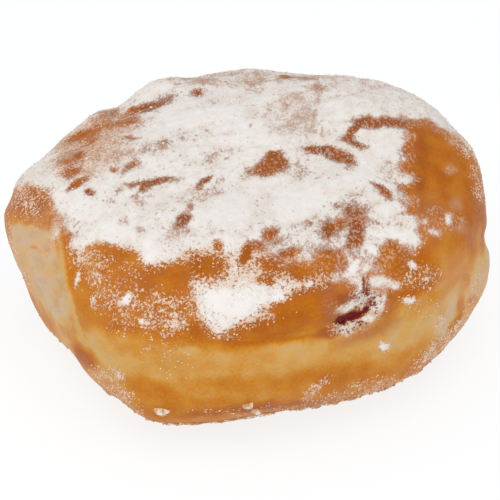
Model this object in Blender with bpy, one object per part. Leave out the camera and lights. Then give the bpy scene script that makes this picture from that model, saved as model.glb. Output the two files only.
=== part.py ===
"""A raspberry filled beignet: a puffed square cushion of fried yeast dough, and the jam that was
piped into it through one side. Metres, +Z up, standing on its base with the origin under its middle.
X runs along the front face, where the jam shows, and Y from the front to the back. Heights and
azimuths (degrees from +X towards +Y) place what is uneven about it."""

import math
from collections import namedtuple

import bmesh
import bpy
from mathutils import Matrix, Vector, noise

# The cushion
WIDTH = 0.0900
DEPTH = 0.0815
HEIGHT = 0.0410
BAND_HEIGHT = 0.0220
PLAN_SQUARENESS = 2.3
CROWN_SQUARENESS = 3.6
BELLY_SQUARENESS = 3.1
BASE_SINK = 0.0007
CUTS_PER_SIDE = 27
WALL_RADIUS = 0.37 * DEPTH
CROWN_START = 0.75 * HEIGHT
CROWN_FULL = 0.95 * HEIGHT

# Where the wall puffed out or was pinched in: the middle of the place and its spread, round the
# cushion and up it, and how far the surface is pushed out
Swell = namedtuple("Swell", "azimuth turn height rise push")
SWELLS = (
    Swell(10, 20, 0.036, 0.007, 0.0028),
    Swell(136, 12, 0.033, 0.006, -0.0012),
    Swell(156, 10, 0.028, 0.007, 0.0010),
    Swell(163, 11, 0.013, 0.006, -0.0020),
    Swell(182, 17, 0.010, 0.009, -0.0034),
    Swell(206, 8, 0.010, 0.006, -0.0013),
    Swell(218, 9, 0.008, 0.008, 0.0009),
    Swell(250, 22, 0.006, 0.008, -0.0018),
    Swell(308, 9, 0.013, 0.006, -0.0005),
    Swell(322, 12, 0.029, 0.008, -0.0010),
    Swell(347, 7, 0.035, 0.006, 0.0010),
)

# Lumps and hollows of the crown: the middle, the two spreads, the turn of the longer one from X, and
# the height
Lump = namedtuple("Lump", "x y length breadth turn height")
LUMPS = (
    Lump(-0.0030, 0.0330, 0.0100, 0.0050, -5, 0.0022),
    Lump(-0.0105, 0.0300, 0.0090, 0.0042, 10, -0.0030),
    Lump(-0.0165, 0.0290, 0.0055, 0.0045, 25, 0.0020),
    Lump(-0.0225, 0.0270, 0.0080, 0.0060, 35, -0.0018),
    Lump(0.0175, 0.0340, 0.0060, 0.0080, 0, 0.0011),
)

# The fold where the browned crust laps over the pale left end. It leans by so many degrees a metre,
# and curls in faster above its shoulder
FOLD_FOOT_AZIMUTH = 211
FOLD_FOOT_HEIGHT = 0.020
FOLD_LEAN = 1300
FOLD_SHOULDER_HEIGHT = 0.030
FOLD_CURL = 28
FOLD_CURL_RISE = 0.007
FOLD_STEP = 0.0018
FOLD_SOFTNESS = 4
PALE_END_AZIMUTH = 180
PALE_END_TURN = 24
PALE_END_HEIGHT = 0.022
PALE_END_RISE = 0.011

# The groove under the crust's edge, along the top of the pale band in front. It falls by so many
# metres a degree
GROOVE_AZIMUTH = 256
GROOVE_TURN = 20
GROOVE_HEIGHT = 0.0272
GROOVE_FALL = 0.00005
GROOVE_RISE = 0.0022
GROOVE_DEPTH = 0.0011
LIP_ABOVE_GROOVE = 0.0050
LIP_RISE = 0.0035
LIP_SWELL = 0.0005

# The pinch at the right end of the front
PINCH_AZIMUTH = 302
PINCH_TURN = 4.5
PINCH_HEIGHT = 0.0175
PINCH_RISE = 0.0065
PINCH_DEPTH = 0.0014

# Long low ridges on the crown, and the unevenness of all the skin
RIDGE_TURN = 8
RIDGE_LENGTH = 0.034
RIDGE_BREADTH = 0.012
RIDGE_HEIGHT = 0.0009
SKIN_SIZE = 0.014
SKIN_HEIGHT = 0.0005
RIM_SIZE = 0.0055
RIM_HEIGHT = 0.0006
RIM_RISE = 0.008

# The jam: the mouth it was piped through, and the pool in the crumb. Each section is an ellipse across
# the way in, given by its depth behind the mouth, its height, its two half sizes and its turn
MOUTH_X = 0.0018
MOUTH_DENT = 0.0013
MOUTH_DENT_ACROSS = 0.0085
MOUTH_DENT_UP = 0.0050
MOUTH_SEARCH_STEPS = 40
JAM_BULGE = 0.0006
JAM_GAP = 0.0003
MOUTH_CLEARANCE = 0.0060
SIDES_ROUND_JAM = 28
Section = namedtuple("Section", "depth height across up turn")
MOUTH = Section(0.000, 0.0292, 0.0062, 0.0026, 16)
JAM_SECTIONS = (
    MOUTH,
    Section(0.003, 0.0286, 0.0054, 0.0028, 14),
    Section(0.006, 0.0275, 0.0047, 0.0031, 12),
    Section(0.011, 0.0250, 0.0050, 0.0036, 8),
    Section(0.016, 0.0228, 0.0075, 0.0047, 4),
    Section(0.022, 0.0208, 0.0118, 0.0060, 0),
    Section(0.029, 0.0200, 0.0150, 0.0068, 0),
    Section(0.037, 0.0198, 0.0162, 0.0070, 0),
    Section(0.045, 0.0199, 0.0150, 0.0066, 0),
    Section(0.052, 0.0202, 0.0112, 0.0054, 0),
    Section(0.057, 0.0205, 0.0056, 0.0032, 0),
    Section(0.059, 0.0206, 0.0020, 0.0014, 0),
)


def clear_scene():
    for obj in list(bpy.data.objects):
        bpy.data.objects.remove(obj, do_unlink=True)


def finish(name, colour, roughness):
    material = bpy.data.materials.new(name)
    material.use_nodes = True
    shader = material.node_tree.nodes["Principled BSDF"]
    shader.inputs["Base Color"].default_value = (*colour, 1)
    shader.inputs["Roughness"].default_value = roughness
    return material


def add_object(name, mesh, material):
    data = bpy.data.meshes.new(name)
    mesh.to_mesh(data)
    mesh.free()
    data.materials.append(material)
    data.shade_smooth()
    obj = bpy.data.objects.new(name, data)
    bpy.context.scene.collection.objects.link(obj)
    return obj


def bell(distance, spread):
    return math.exp(-((distance / spread) ** 2))


def smooth_step(value):
    value = min(max(value, 0), 1)
    return value * value * (3 - 2 * value)


def turn_between(azimuth, other):
    return (azimuth - other + 180) % 360 - 180


def plain_cushion(direction):
    """The point and the outward normal where a ray from the middle of the widest level leaves the
    plain cushion, whose crown and belly are two superellipsoids that meet there."""
    above = direction.z > 0
    rise = HEIGHT - BAND_HEIGHT if above else BAND_HEIGHT + BASE_SINK
    power = CROWN_SQUARENESS if above else BELLY_SQUARENESS
    along_x = abs(2 * direction.x / WIDTH)
    along_y = abs(2 * direction.y / DEPTH)
    across = (along_x**PLAN_SQUARENESS + along_y**PLAN_SQUARENESS) ** (1 / PLAN_SQUARENESS)
    upwards = abs(direction.z / rise)
    reach = (across**power + upwards**power) ** (-1 / power)
    point = direction * reach + Vector((0, 0, BAND_HEIGHT))
    flatten = across ** (power - PLAN_SQUARENESS) if across > 0 else 0
    normal = Vector(
        (
            math.copysign(flatten * along_x ** (PLAN_SQUARENESS - 1) * 2 / WIDTH, direction.x),
            math.copysign(flatten * along_y ** (PLAN_SQUARENESS - 1) * 2 / DEPTH, direction.y),
            math.copysign(upwards ** (power - 1) / rise, direction.z),
        )
    )
    return point, normal.normalized()


def fold_azimuth(height):
    curl = max((height - FOLD_SHOULDER_HEIGHT) / FOLD_CURL_RISE, 0) ** 2
    return FOLD_FOOT_AZIMUTH - FOLD_LEAN * (height - FOLD_FOOT_HEIGHT) - FOLD_CURL * curl


def fold(azimuth, height):
    """The pale end sinks below the crust that laps over it, in one step along the fold."""
    past_fold = smooth_step(0.5 + turn_between(fold_azimuth(height), azimuth) / (2 * FOLD_SOFTNESS))
    near_end = bell(turn_between(azimuth, PALE_END_AZIMUTH), PALE_END_TURN)
    return -FOLD_STEP * past_fold * near_end * bell(height - PALE_END_HEIGHT, PALE_END_RISE)


def groove(azimuth, height):
    from_middle = turn_between(azimuth, GROOVE_AZIMUTH)
    above = height - GROOVE_HEIGHT + GROOVE_FALL * from_middle
    lip = LIP_SWELL * bell(above - LIP_ABOVE_GROOVE, LIP_RISE)
    return bell(from_middle, GROOVE_TURN) * (lip - GROOVE_DEPTH * bell(above, GROOVE_RISE))


def pinch(azimuth, height):
    inwards = PINCH_DEPTH * bell(turn_between(azimuth, PINCH_AZIMUTH), PINCH_TURN)
    return -inwards * bell(height - PINCH_HEIGHT, PINCH_RISE)


def mouth_dent(point):
    """The skin drawn in round the jam's mouth."""
    if point.y > 0:
        return 0
    across = bell(point.x - MOUTH_X, MOUTH_DENT_ACROSS)
    return -MOUTH_DENT * across * bell(point.z - MOUTH.height, MOUTH_DENT_UP)


def lumps(point):
    above_band = smooth_step((point.z - BAND_HEIGHT) / (CROWN_START - BAND_HEIGHT))
    total = 0
    for lump in LUMPS:
        turn = math.radians(lump.turn)
        x = point.x - lump.x
        y = point.y - lump.y
        along = x * math.cos(turn) + y * math.sin(turn)
        across = y * math.cos(turn) - x * math.sin(turn)
        total += lump.height * bell(along, lump.length) * bell(across, lump.breadth)
    return above_band * total


def ridges(point):
    turned = Matrix.Rotation(math.radians(-RIDGE_TURN), 3, "Z") @ point
    stretched = Vector((turned.x / RIDGE_LENGTH, turned.y / RIDGE_BREADTH, 0.5))
    on_crown = smooth_step((point.z - CROWN_START) / (CROWN_FULL - CROWN_START))
    return RIDGE_HEIGHT * on_crown * noise.noise(stretched)


def unevenness(point):
    whole = SKIN_HEIGHT * noise.noise(point / SKIN_SIZE)
    near_rim = bell(point.z, RIM_RISE)
    return whole + RIM_HEIGHT * near_rim * noise.noise(point / RIM_SIZE)


def swells(azimuth, height):
    total = 0
    for swell in SWELLS:
        near = bell(turn_between(azimuth, swell.azimuth), swell.turn)
        total += swell.push * near * bell(height - swell.height, swell.rise)
    return total


def relief(point):
    """How far the real surface stands out from a point of the plain cushion."""
    azimuth = math.degrees(math.atan2(point.y, point.x))
    on_wall = smooth_step(math.hypot(point.x, point.y) / WALL_RADIUS)
    wall = sum(feature(azimuth, point.z) for feature in (swells, fold, groove, pinch))
    return on_wall * wall + sum(feature(point) for feature in (mouth_dent, lumps, ridges, unevenness))


def dough_surface(direction):
    point, normal = plain_cushion(direction)
    point = point + normal * relief(point)
    point.z = max(point.z, 0)
    return point


def cube_sphere():
    """A cube cut into even squares and blown up to a ball, so that it has no crowded poles."""
    mesh = bmesh.new()
    bmesh.ops.create_cube(mesh, size=2)
    bmesh.ops.subdivide_edges(mesh, edges=mesh.edges[:], cuts=CUTS_PER_SIDE, use_grid_fill=True)
    for vertex in mesh.verts:
        spread = [math.tan(math.pi / 4 * value) for value in vertex.co]
        vertex.co = Vector(spread).normalized()
    return mesh


def dough():
    mesh = cube_sphere()
    for vertex in mesh.verts:
        ball = vertex.co
        direction = Vector((ball.x * WIDTH, ball.y * DEPTH, ball.z * HEIGHT)).normalized()
        vertex.co = dough_surface(direction)
    return add_object("dough", mesh, finish("golden_crust", (0.52, 0.20, 0.035), 0.5))


def mouth_y():
    """How far forward the front is at the mouth's height, found by halving the rise of the ray to it."""
    low, high = 0.0, math.pi / 2
    for _ in range(MOUTH_SEARCH_STEPS):
        rise = (low + high) / 2
        point = dough_surface(Vector((0, -math.cos(rise), math.sin(rise))))
        low, high = (rise, high) if point.z < MOUTH.height else (low, rise)
    return point.y


def ring(mesh, section, y, grow):
    points = []
    turn = math.radians(section.turn)
    for side in range(SIDES_ROUND_JAM):
        angle = math.tau * side / SIDES_ROUND_JAM
        across = (section.across + grow) * math.cos(angle)
        up = (section.up + grow) * math.sin(angle)
        x = MOUTH_X + across * math.cos(turn) - up * math.sin(turn)
        z = section.height + across * math.sin(turn) + up * math.cos(turn)
        points.append(mesh.verts.new((x, y, z)))
    return points


def jam_body(name, material, grow, overshoot):
    """The jam from its mouth to the end of its pool. Grown, and reaching out in front, it is the
    cutter of the hollow."""
    mesh = bmesh.new()
    y_mouth = mouth_y()
    last = JAM_SECTIONS[-1]
    rings = []
    if overshoot:
        rings.append(ring(mesh, MOUTH, y_mouth - overshoot, grow))
    for section in JAM_SECTIONS:
        rings.append(ring(mesh, section, y_mouth + section.depth, grow))
    for near, far in zip(rings, rings[1:]):
        for side in range(SIDES_ROUND_JAM):
            after = (side + 1) % SIDES_ROUND_JAM
            mesh.faces.new((near[side], near[after], far[after], far[side]))
    ends = (
        (rings[0], y_mouth - (overshoot or JAM_BULGE), MOUTH.height),
        (rings[-1], y_mouth + last.depth + JAM_BULGE + grow, last.height),
    )
    for end, y, height in ends:
        middle = mesh.verts.new((MOUTH_X, y, height))
        for side in range(SIDES_ROUND_JAM):
            mesh.faces.new((end[side], end[(side + 1) % SIDES_ROUND_JAM], middle))
    bmesh.ops.recalc_face_normals(mesh, faces=mesh.faces[:])
    return add_object(name, mesh, material)


def cut(obj, cutter):
    cutter.hide_render = True
    cutter.display_type = "WIRE"
    modifier = obj.modifiers.new("jam_hollow", "BOOLEAN")
    modifier.operation = "DIFFERENCE"
    modifier.solver = "EXACT"
    modifier.object = cutter


def stand_in_middle(whole, pieces):
    """Slides the pieces so that the origin is under the middle of the whole."""
    corners = [Vector(corner) for corner in whole.bound_box]
    middle = Vector(
        (
            (min(c.x for c in corners) + max(c.x for c in corners)) / 2,
            (min(c.y for c in corners) + max(c.y for c in corners)) / 2,
            0,
        )
    )
    for piece in pieces:
        piece.data.transform(Matrix.Translation(-middle))


def main():
    clear_scene()
    jam_red = finish("raspberry_jam", (0.09, 0.005, 0.007), 0.12)
    cushion = dough()
    jam = jam_body("raspberry_jam", jam_red, 0, 0)
    hollow = jam_body("jam_hollow", jam_red, JAM_GAP, MOUTH_CLEARANCE)
    stand_in_middle(cushion, (cushion, jam, hollow))
    cut(cushion, hollow)


main()
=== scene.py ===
"""Looks of a raspberry filled beignet, laid out as an add-on and run as a script.

The crust, the jam in its mouth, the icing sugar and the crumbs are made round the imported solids.
Metres, +Z up, standing on z = 0. What is painted on the front is placed in the photograph's frame of
500 x 500 pixels, counted from its top left corner, and the sides that it doesn't show follow rules."""

import math
from collections import namedtuple
from functools import lru_cache

import bmesh
import bpy
import numpy as np
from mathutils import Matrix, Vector, noise
from mathutils.bvhtree import BVHTree


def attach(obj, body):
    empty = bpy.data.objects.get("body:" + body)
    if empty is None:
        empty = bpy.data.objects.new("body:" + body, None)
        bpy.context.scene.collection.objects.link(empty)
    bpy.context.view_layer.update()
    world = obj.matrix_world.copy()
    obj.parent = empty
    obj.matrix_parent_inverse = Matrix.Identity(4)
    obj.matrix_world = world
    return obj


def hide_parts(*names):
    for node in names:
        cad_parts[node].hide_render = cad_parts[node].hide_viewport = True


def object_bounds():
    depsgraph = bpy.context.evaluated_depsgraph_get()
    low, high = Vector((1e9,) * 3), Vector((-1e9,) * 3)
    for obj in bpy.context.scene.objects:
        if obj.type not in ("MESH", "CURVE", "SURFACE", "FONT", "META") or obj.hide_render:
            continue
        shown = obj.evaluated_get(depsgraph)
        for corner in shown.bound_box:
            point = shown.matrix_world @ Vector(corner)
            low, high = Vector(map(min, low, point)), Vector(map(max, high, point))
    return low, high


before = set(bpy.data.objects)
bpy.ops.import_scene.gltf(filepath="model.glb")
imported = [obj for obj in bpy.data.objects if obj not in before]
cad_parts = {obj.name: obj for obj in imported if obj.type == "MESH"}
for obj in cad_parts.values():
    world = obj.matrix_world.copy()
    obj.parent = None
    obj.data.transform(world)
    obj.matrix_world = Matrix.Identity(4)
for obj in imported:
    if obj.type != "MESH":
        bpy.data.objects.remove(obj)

bl_info = {
    "name": "Raspberry Filled Beignet",
    "version": (1, 0, 0),
    "blender": (4, 5, 0),
    "location": "3D View > Sidebar > Beignet",
    "description": "Makes the crust, jam, icing sugar and crumbs of a filled beignet",
    "category": "Add Mesh",
}

CAD_LOW, CAD_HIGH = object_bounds()
MM = 0.001

# The camera, in the frame of the photograph
VIEW_AZIMUTH = math.radians(-28)
VIEW_ELEVATION = math.radians(33)
VIEW_DISTANCE = 0.400
VIEW_TARGET = Vector((0, 0, 0.020))
PHOTO_SIDE = 500
FOCAL_PIXELS = 2096
TARGET_ACROSS = 254
TARGET_DOWN = 245
SENSOR_WIDTH = 36

# The lights: where each stands from the beignet, in degrees and metres, its side and its colour
Light = namedtuple("Light", "azimuth elevation distance side colour")
KEY_LIGHT = Light(-20, 58, 0.95, 0.70, (1.0, 0.985, 0.96))
FILL_LIGHT = Light(-105, 35, 0.95, 0.60, (1.0, 1.0, 1.0))
FLOOR_GLOW = 0.82

# The surface's pattern: how far it is drawn out towards the back, how the drifts and folds of the top
# run, how much the painted edges wander and over what length, and the pale ends' blotches
DRIFT_STRETCH = 1.7
DRIFT_TURN = math.radians(8)
WANDER_PIXELS = 2.6
WANDER_SIZE = 2.4 * MM
BLOTCH_PIXELS = 12

# How softly the painted outlines end, from so many pixels outside them to so many inside
SUGAR_SOFTNESS = (-7, 8)
UNDER_SUGAR_SOFTNESS = (-4, 10)
PALE_SOFTNESS = (-4, 4)
VEIL_SOFTNESS = (-12, 8)
DUST_SOFTNESS = (-1, 5)

# Where the moist sugar begins, in pixels from the top, and over how many it does so; it begins lower
# down between the left and the right of the front
MOIST_FROM = 228
MOIST_SOFTNESS = 24
FRONT_DROP = 26
FRONT_LEFT = (240, 300)
FRONT_RIGHT = (430, 400)

# Heights: the middle of the pale band, where the crown begins and where it is full, the edge of the
# sugar on the unseen sides, and where the sugar there is dry and where it is moist
BAND_HEIGHT = 22.2 * MM
CROWN_LOW = 32 * MM
CROWN_HIGH = 37 * MM
SUGAR_EDGE_HEIGHT = 32.5 * MM
DRY_HEIGHT = 36.5 * MM
MOIST_HEIGHT = 32.5 * MM

# How brown the crust is in the band and under the sugar, and how much browner above and below the band
BAND_BROWNNESS = 0.34
CROWN_BROWNNESS = 0.94
BROWNER_ABOVE = 0.36
BROWNER_BELOW = 0.22
PALE_LEFT_BROWNNESS = 0.07
PALE_RIGHT_BROWNNESS = 0.02

# What is scattered: how many, the smallest and largest width, the length and the height of its
# roughness, the sides or the divisions of one lump, and the random seed; then how much narrower and
# wider than round a lump may be
Scatter = namedtuple("Scatter", "count smallest largest rough_size rough_height sides seed")
FINE_GRAINS = Scatter(21000, 0.10 * MM, 0.24 * MM, 0.2 * MM, 0.05 * MM, 4, 41)
CRYSTALS = Scatter(8500, 0.16 * MM, 0.46 * MM, 0.3 * MM, 0.16 * MM, 1, 42)
CLUMPS = Scatter(1000, 0.25 * MM, 0.62 * MM, 0.30 * MM, 0.36 * MM, 2, 43)
CRUMBS = Scatter(2200, 0.25 * MM, 0.75 * MM, 0.4 * MM, 0.35 * MM, 2, 44)
NARROWEST = (0.75, 0.75, 0.55)
WIDEST = (1.30, 1.10, 0.95)

# The relief of the skin: shallow lumps, the folds of the top, the rough rim, and heaped powder
SKIN_LUMP_HEIGHT = 0.10 * MM
SKIN_GRAIN_HEIGHT = 0.05 * MM
FOLD_HEIGHT = 0.26 * MM
RIM_ROUGHNESS = 0.34 * MM
POWDER_HEIGHT = 0.32 * MM

# The crust's mesh
GRID_CUTS = 124
GRID_MIDDLE = Vector((0, 0, 0.022))
RAY_START = 0.12
SMOOTHING_PASSES = 6
MOUTH_PASSES = 300

# The mouth of the jam; FAR_AWAY is its reach behind the middle of the beignet
FAR_AWAY = 99.0
MOUTH_RING_DEPTH = 0.8 * MM
MOUTH_MARGIN = 1.15
FUNNEL_DEPTH = 0.30 * MM
FUNNEL_WIDTH = 3.4 * MM
JAM_CLEARANCE = 0.25 * MM
FACE_RINGS = 44
FACE_SIDES = 150
FACE_REACH = 1.34
FACE_STEP = 0.02 * MM
FACE_THICKNESS = 1.4 * MM
FACE_ROUGHNESS = 0.10 * MM
FACE_LUMP = 1.0 * MM
FACE_BACKING = 0.6 * FACE_THICKNESS
FACE_MARGIN = 0.2
SLIT_DEPTH = 0.5 * MM
CUTTER_REACH = 8 * MM
HOLE_EDGE_ANGLE = math.radians(55)
JAM_VOXEL = 0.45 * MM

Spot = namedtuple("Spot", "name across down length breadth turn amount")
Crease = namedtuple("Crease", "name places width depth brownness")

# Where the skin is creased: the line, its half width in pixels, its depth and how brown it is there
# The brownness darkens the grooves and the pinch as painted shade, and pales the ridge of the left fold
# as a painted highlight.
CREASES = (
    Crease(
        "ridge of the fold at the left end",
        ((55, 227), (58, 236), (61, 247), (63, 266), (65, 283), (70, 301), (77, 323), (82, 338)),
        2.4, -0.40 * MM, 0.12,
    ),
    Crease("fold under the crescent", ((176, 144), (205, 143), (240, 146), (270, 143), (296, 137)),
           3.0, 0.35 * MM, 0.90),
    Crease("fold inside the crescent", ((206, 137), (222, 131), (245, 129), (266, 129)),
           1.6, 0.25 * MM, 0.90),
    Crease(
        "groove above the band",
        ((150, 322), (180, 334), (210, 341), (240, 344), (270, 341), (300, 338), (333, 330)),
        2.6, 0.22 * MM, 0.66,
    ),
    Crease(
        "groove right of the mouth",
        ((378, 320), (402, 312), (428, 298), (448, 281), (466, 262)),
        3.0, 0.20 * MM, 0.40,
    ),
    Crease(
        "pinch at the right end",
        ((466, 276), (462, 290), (461, 303), (458, 316), (450, 330)),
        2.6, 0.60 * MM, 0.46,
    ),
    Crease("crack at the right", ((388, 233), (398, 230), (408, 227)), 1.6, 0.30 * MM, 0.90),
    Crease("crack beside the arc", ((366, 178), (384, 184), (404, 192)), 1.6, 0.25 * MM, 0.90),
    Crease("upright crack at the back", ((313, 96), (315, 112), (316, 138)), 1.6, 0.30 * MM, 0.90),
)

# The pale ends all round, by direction in degrees and height, and how far each spreads
PaleEnd = namedtuple("PaleEnd", "azimuth spread height reach brownness strength")
PALE_ENDS = (
    PaleEnd(174, 27, 20 * MM, 12 * MM, 0.10, 1.3),
    PaleEnd(315, 14, 21 * MM, 7 * MM, 0.14, 1.2),
)

# The outlines of the pale ends where the photograph shows them, beyond their folds
PALE_LEFT = (
    (8, 228), (14, 224), (22, 222), (30, 227), (40, 229), (48, 232), (54, 241), (59, 255), (63, 270),
    (66, 287), (70, 305), (76, 323), (82, 338), (70, 332), (58, 320), (48, 306), (38, 294), (30, 284),
    (24, 274), (15, 252),
)
PALE_RIGHT = (
    (486, 244), (479, 255), (471, 268), (459, 284), (449, 298), (444, 314), (439, 332), (446, 334),
    (456, 320), (463, 306), (474, 300), (484, 288), (492, 262), (492, 246),
)

# Where the icing sugar lies thick, as an outline, and where it is missing or thin inside that outline:
# the middle, the two half sizes, the turn from level (rising to the right) and how much is gone
SUGAR_OUTLINE = (
    (10, 194), (28, 187), (45, 191), (51, 204), (55, 215), (64, 227), (70, 242), (75, 258), (82, 260),
    (88, 250), (97, 243), (106, 245), (119, 249), (131, 251),
    (139, 255), (142, 266), (150, 272), (158, 273), (168, 268), (178, 263), (184, 272), (188, 283),
    (190, 292), (191, 302), (197, 318), (207, 329), (217, 338), (228, 336), (238, 326), (250, 319),
    (262, 312), (290, 297), (325, 286), (345, 283), (362, 273), (385, 274), (398, 262), (416, 255),
    (423, 243), (418, 232), (424, 221), (413, 212), (418, 200), (408, 191), (416, 178), (403, 168),
    (413, 158), (406, 147), (413, 137), (407, 126), (427, 122), (442, 131), (458, 141),
    (471, 155), (480, 173), (485, 200), (520, 190), (500, 100), (400, 20), (200, 20), (40, 60),
    (0, 140),
)
BARE_SPOTS = (
    # Along the back of the top, the thinner dust is partly painted shade that greys the top where it
    # turns away.
    Spot("thinner dust along the back edge", 240, 77, 90, 8, 0, 0.60),
    Spot("thinner dust at the back right", 360, 92, 60, 14, -8, 0.30),
    Spot("upper left streak", 151, 106, 23, 5, 20, 0.80),
    Spot("its brownest part", 146, 107, 15, 3.2, 14, 1.00),
    Spot("under that streak", 130, 118, 11, 5, 20, 0.75),
    Spot("speckle on the left shoulder", 106, 118, 15, 8, 30, 0.60),
    Spot("long thin streak", 120, 124, 20, 4, 5, 0.70),
    Spot("left edge streak", 85, 135, 16, 4, 22, 1.00),
    Spot("below the left edge streak", 92, 141, 8, 3, 25, 0.85),
    Spot("dusty left edge", 68, 150, 12, 9, 20, 0.45),
    Spot("left edge dot", 80, 156, 5, 4, 30, 0.90),
    Spot("left edge dash", 67, 162, 9, 3.5, 10, 0.70),
    Spot("left edge smear", 70, 173, 11, 5, 10, 0.75),
    Spot("lower left edge streak", 77, 184, 13, 3, 29, 1.00),
    Spot("left blob", 90, 192, 6, 4, -10, 0.95),
    Spot("left speck", 113, 170, 4, 2, 0, 0.80),
    Spot("left middle smear", 131, 165, 10, 4, 25, 0.80),
    Spot("under the left middle smear", 123, 174, 4, 4, 0, 0.65),
    Spot("beside the left middle smear", 142, 167, 6, 3, 10, 0.60),
    Spot("brown bar", 151, 182, 22, 3.5, 8, 1.00),
    Spot("tail of the brown bar", 178, 180, 9, 2, 5, 0.60),
    Spot("under the brown bar", 145, 189, 6, 3, 10, 0.75),
    Spot("first dot under the bar", 120, 193, 4, 5, 0, 0.60),
    Spot("second dot under the bar", 134, 197, 5, 4, 0, 0.70),
    Spot("third dot under the bar", 141, 203, 6, 3, 0, 0.50),
    Spot("faint patch under the bar", 161, 206, 10, 5, 0, 0.40),
    Spot("left lower speckle", 125, 219, 6, 6, 0, 0.60),
    Spot("left lower shadow", 142, 230, 9, 4, 10, 0.50),
    Spot("slanted dash", 204, 181, 10, 3.5, 40, 1.00),
    Spot("tail of the slanted dash", 190, 190, 10, 1.8, 40, 0.48),
    Spot("right of the slanted dash", 221, 180, 7, 3, 15, 0.60),
    Spot("middle speckle", 190, 205, 5, 4, 40, 0.80),
    Spot("middle brown speckle", 184, 219, 11, 6, 35, 0.92),
    Spot("below the middle speckle", 181, 231, 16, 5, 10, 0.50),
    Spot("thin line on the left", 131, 138, 10, 1.8, 2, 0.75),
    Spot("thin line beside it", 163, 142, 9, 3, 5, 0.50),
    Spot("small shadow", 179, 157, 6, 3, 20, 0.50),
    Spot("beige field", 220, 154, 22, 6, 20, 0.50),
    Spot("beige field on the left", 158, 150, 24, 8, 0, 0.46),
    Spot("beige field below", 185, 195, 15, 4, 10, 0.35),
    Spot("thin dust in the middle", 214, 191, 16, 8, 0, 0.40),
    Spot("back edge left", 205, 81, 15, 3, 2, 0.55),
    Spot("back brown blob", 199, 93, 8, 5, 10, 0.80),
    Spot("back beige blob", 215, 100, 6, 5, 0, 0.45),
    Spot("back patch", 255, 85, 8, 7, 0, 0.60),
    Spot("back edge dash", 285, 77, 8, 2.5, 0, 0.80),
    Spot("back edge line", 306, 78, 14, 2, 0, 0.70),
    Spot("back small patch", 316, 88, 6, 6, 0, 0.60),
    Spot("back faint patch", 328, 89, 7, 3, 0, 0.45),
    Spot("back dot", 338, 96, 4, 3, 0, 0.50),
    Spot("thin dusted field", 293, 118, 32, 20, -8, 0.54),
    Spot("its darker part", 300, 109, 18, 12, 0, 0.42),
    Spot("upright thin line", 315, 119, 21, 1.8, 82, 0.55),
    Spot("tiny crack", 251, 125, 4, 1.2, 50, 0.85),
    Spot("brown middle patch", 272, 166, 16, 8, 20, 1.00),
    Spot("top of the middle patch", 274, 155, 11, 5, 15, 0.95),
    Spot("left of the middle patch", 252, 171, 12, 5, 20, 0.75),
    Spot("right of the middle patch", 301, 172, 12, 7, 0, 0.50),
    Spot("right brown patch", 340, 157, 17, 6.5, -22, 1.00),
    Spot("its tail", 316, 149, 18, 3.5, 0, 0.85),
    Spot("rising limb of the arc", 354, 130, 12, 4, 45, 0.92),
    Spot("top limb of the arc", 384, 122, 30, 5.5, -3, 0.98),
    Spot("inside the arc", 348, 138, 9, 4, 10, 0.75),
    Spot("below the arc", 358, 145, 9, 3.5, -20, 0.85),
    Spot("falling dash", 382, 190, 13, 4, -35, 0.94),
    Spot("right speckle", 390, 170, 11, 10, 0, 0.50),
    Spot("right thin line", 395, 184, 16, 1.5, -22, 0.60),
    Spot("faint dot", 356, 192, 7, 4, 0, 0.35),
    Spot("small dot", 337, 205, 4, 3, 0, 0.70),
    Spot("lower right field", 353, 212, 14, 8, 10, 0.74),
    Spot("lower right brown blob", 328, 230, 7, 8, 0, 0.95),
    Spot("lower right streaks", 346, 224, 17, 5, 14, 0.86),
    Spot("falling brown patch", 357, 235, 16, 7, 74, 0.96),
    Spot("thin lines at the right", 383, 223, 17, 1.6, -8, 0.55),
    Spot("lower middle speckle", 271, 234, 9, 6, 20, 0.88),
    Spot("beside the lower middle speckle", 292, 235, 8, 5, 0, 0.40),
    Spot("lower middle dot", 309, 224, 4, 2.5, 0, 0.60),
    Spot("lower middle speck", 317, 231, 3, 2, 0, 0.60),
    Spot("upright brown patch", 245, 254, 10, 4.5, 75, 0.95),
    Spot("top of the upright patch", 256, 245, 8, 5, 0, 0.80),
    Spot("front dot", 279, 242, 5, 4, 0, 0.65),
    Spot("front dash", 289, 253, 9, 5, 10, 0.90),
    Spot("front speckle", 271, 266, 10, 8, 0, 0.80),
    Spot("front brown dash", 266, 280, 9, 4, 0, 0.85),
    Spot("front brown patch", 301, 270, 16, 9, 0, 0.90),
    Spot("front brown patch beside the mouth", 328, 262, 13, 11, 60, 0.90),
    Spot("above the mouth", 348, 250, 6, 5, 0, 0.80),
    Spot("thin gap left of the mouth", 343, 267, 12, 3, 80, 0.80),
    Spot("orange field at the right", 393, 257, 18, 15, -20, 0.90),
    Spot("orange corner at the right", 410, 278, 12, 11, 0, 0.75),
    Spot("right edge dot", 414, 212, 8, 4, 0, 0.80),
    Spot("thin dust along the far right", 448, 120, 44, 16, -45, 0.36),
    Spot("thin edge at the right", 407, 168, 9, 46, 3, 0.54),
    Spot("brown nick in that edge", 408, 150, 5, 6, 0, 0.80),
    Spot("second brown nick", 406, 189, 10, 4, -25, 0.84),
    Spot("third brown nick", 404, 212, 9, 4, -10, 0.72),
    Spot("thin dust on the left shoulder", 96, 142, 42, 27, 30, 0.58),
    Spot("thin field at the front", 300, 260, 100, 20, 6, 0.56),
    Spot("thin field at the right", 350, 222, 26, 26, 0, 0.46),
    Spot("thin field at the lower right", 398, 262, 24, 16, 0, 0.56),
    Spot("thin field left of the lobe", 205, 262, 26, 12, 0, 0.56),
    Spot("thin tail of the lobe", 312, 286, 24, 7, 14, 0.52),
    Spot("front left speckled field", 203, 267, 20, 11, 10, 0.85),
    Spot("front left dark dash", 218, 246, 5, 6, 0, 0.80),
    Spot("front left specks", 189, 252, 4, 3, 0, 0.60),
    Spot("left fold dot", 70, 236, 5, 4, 0, 0.70),
)

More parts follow.
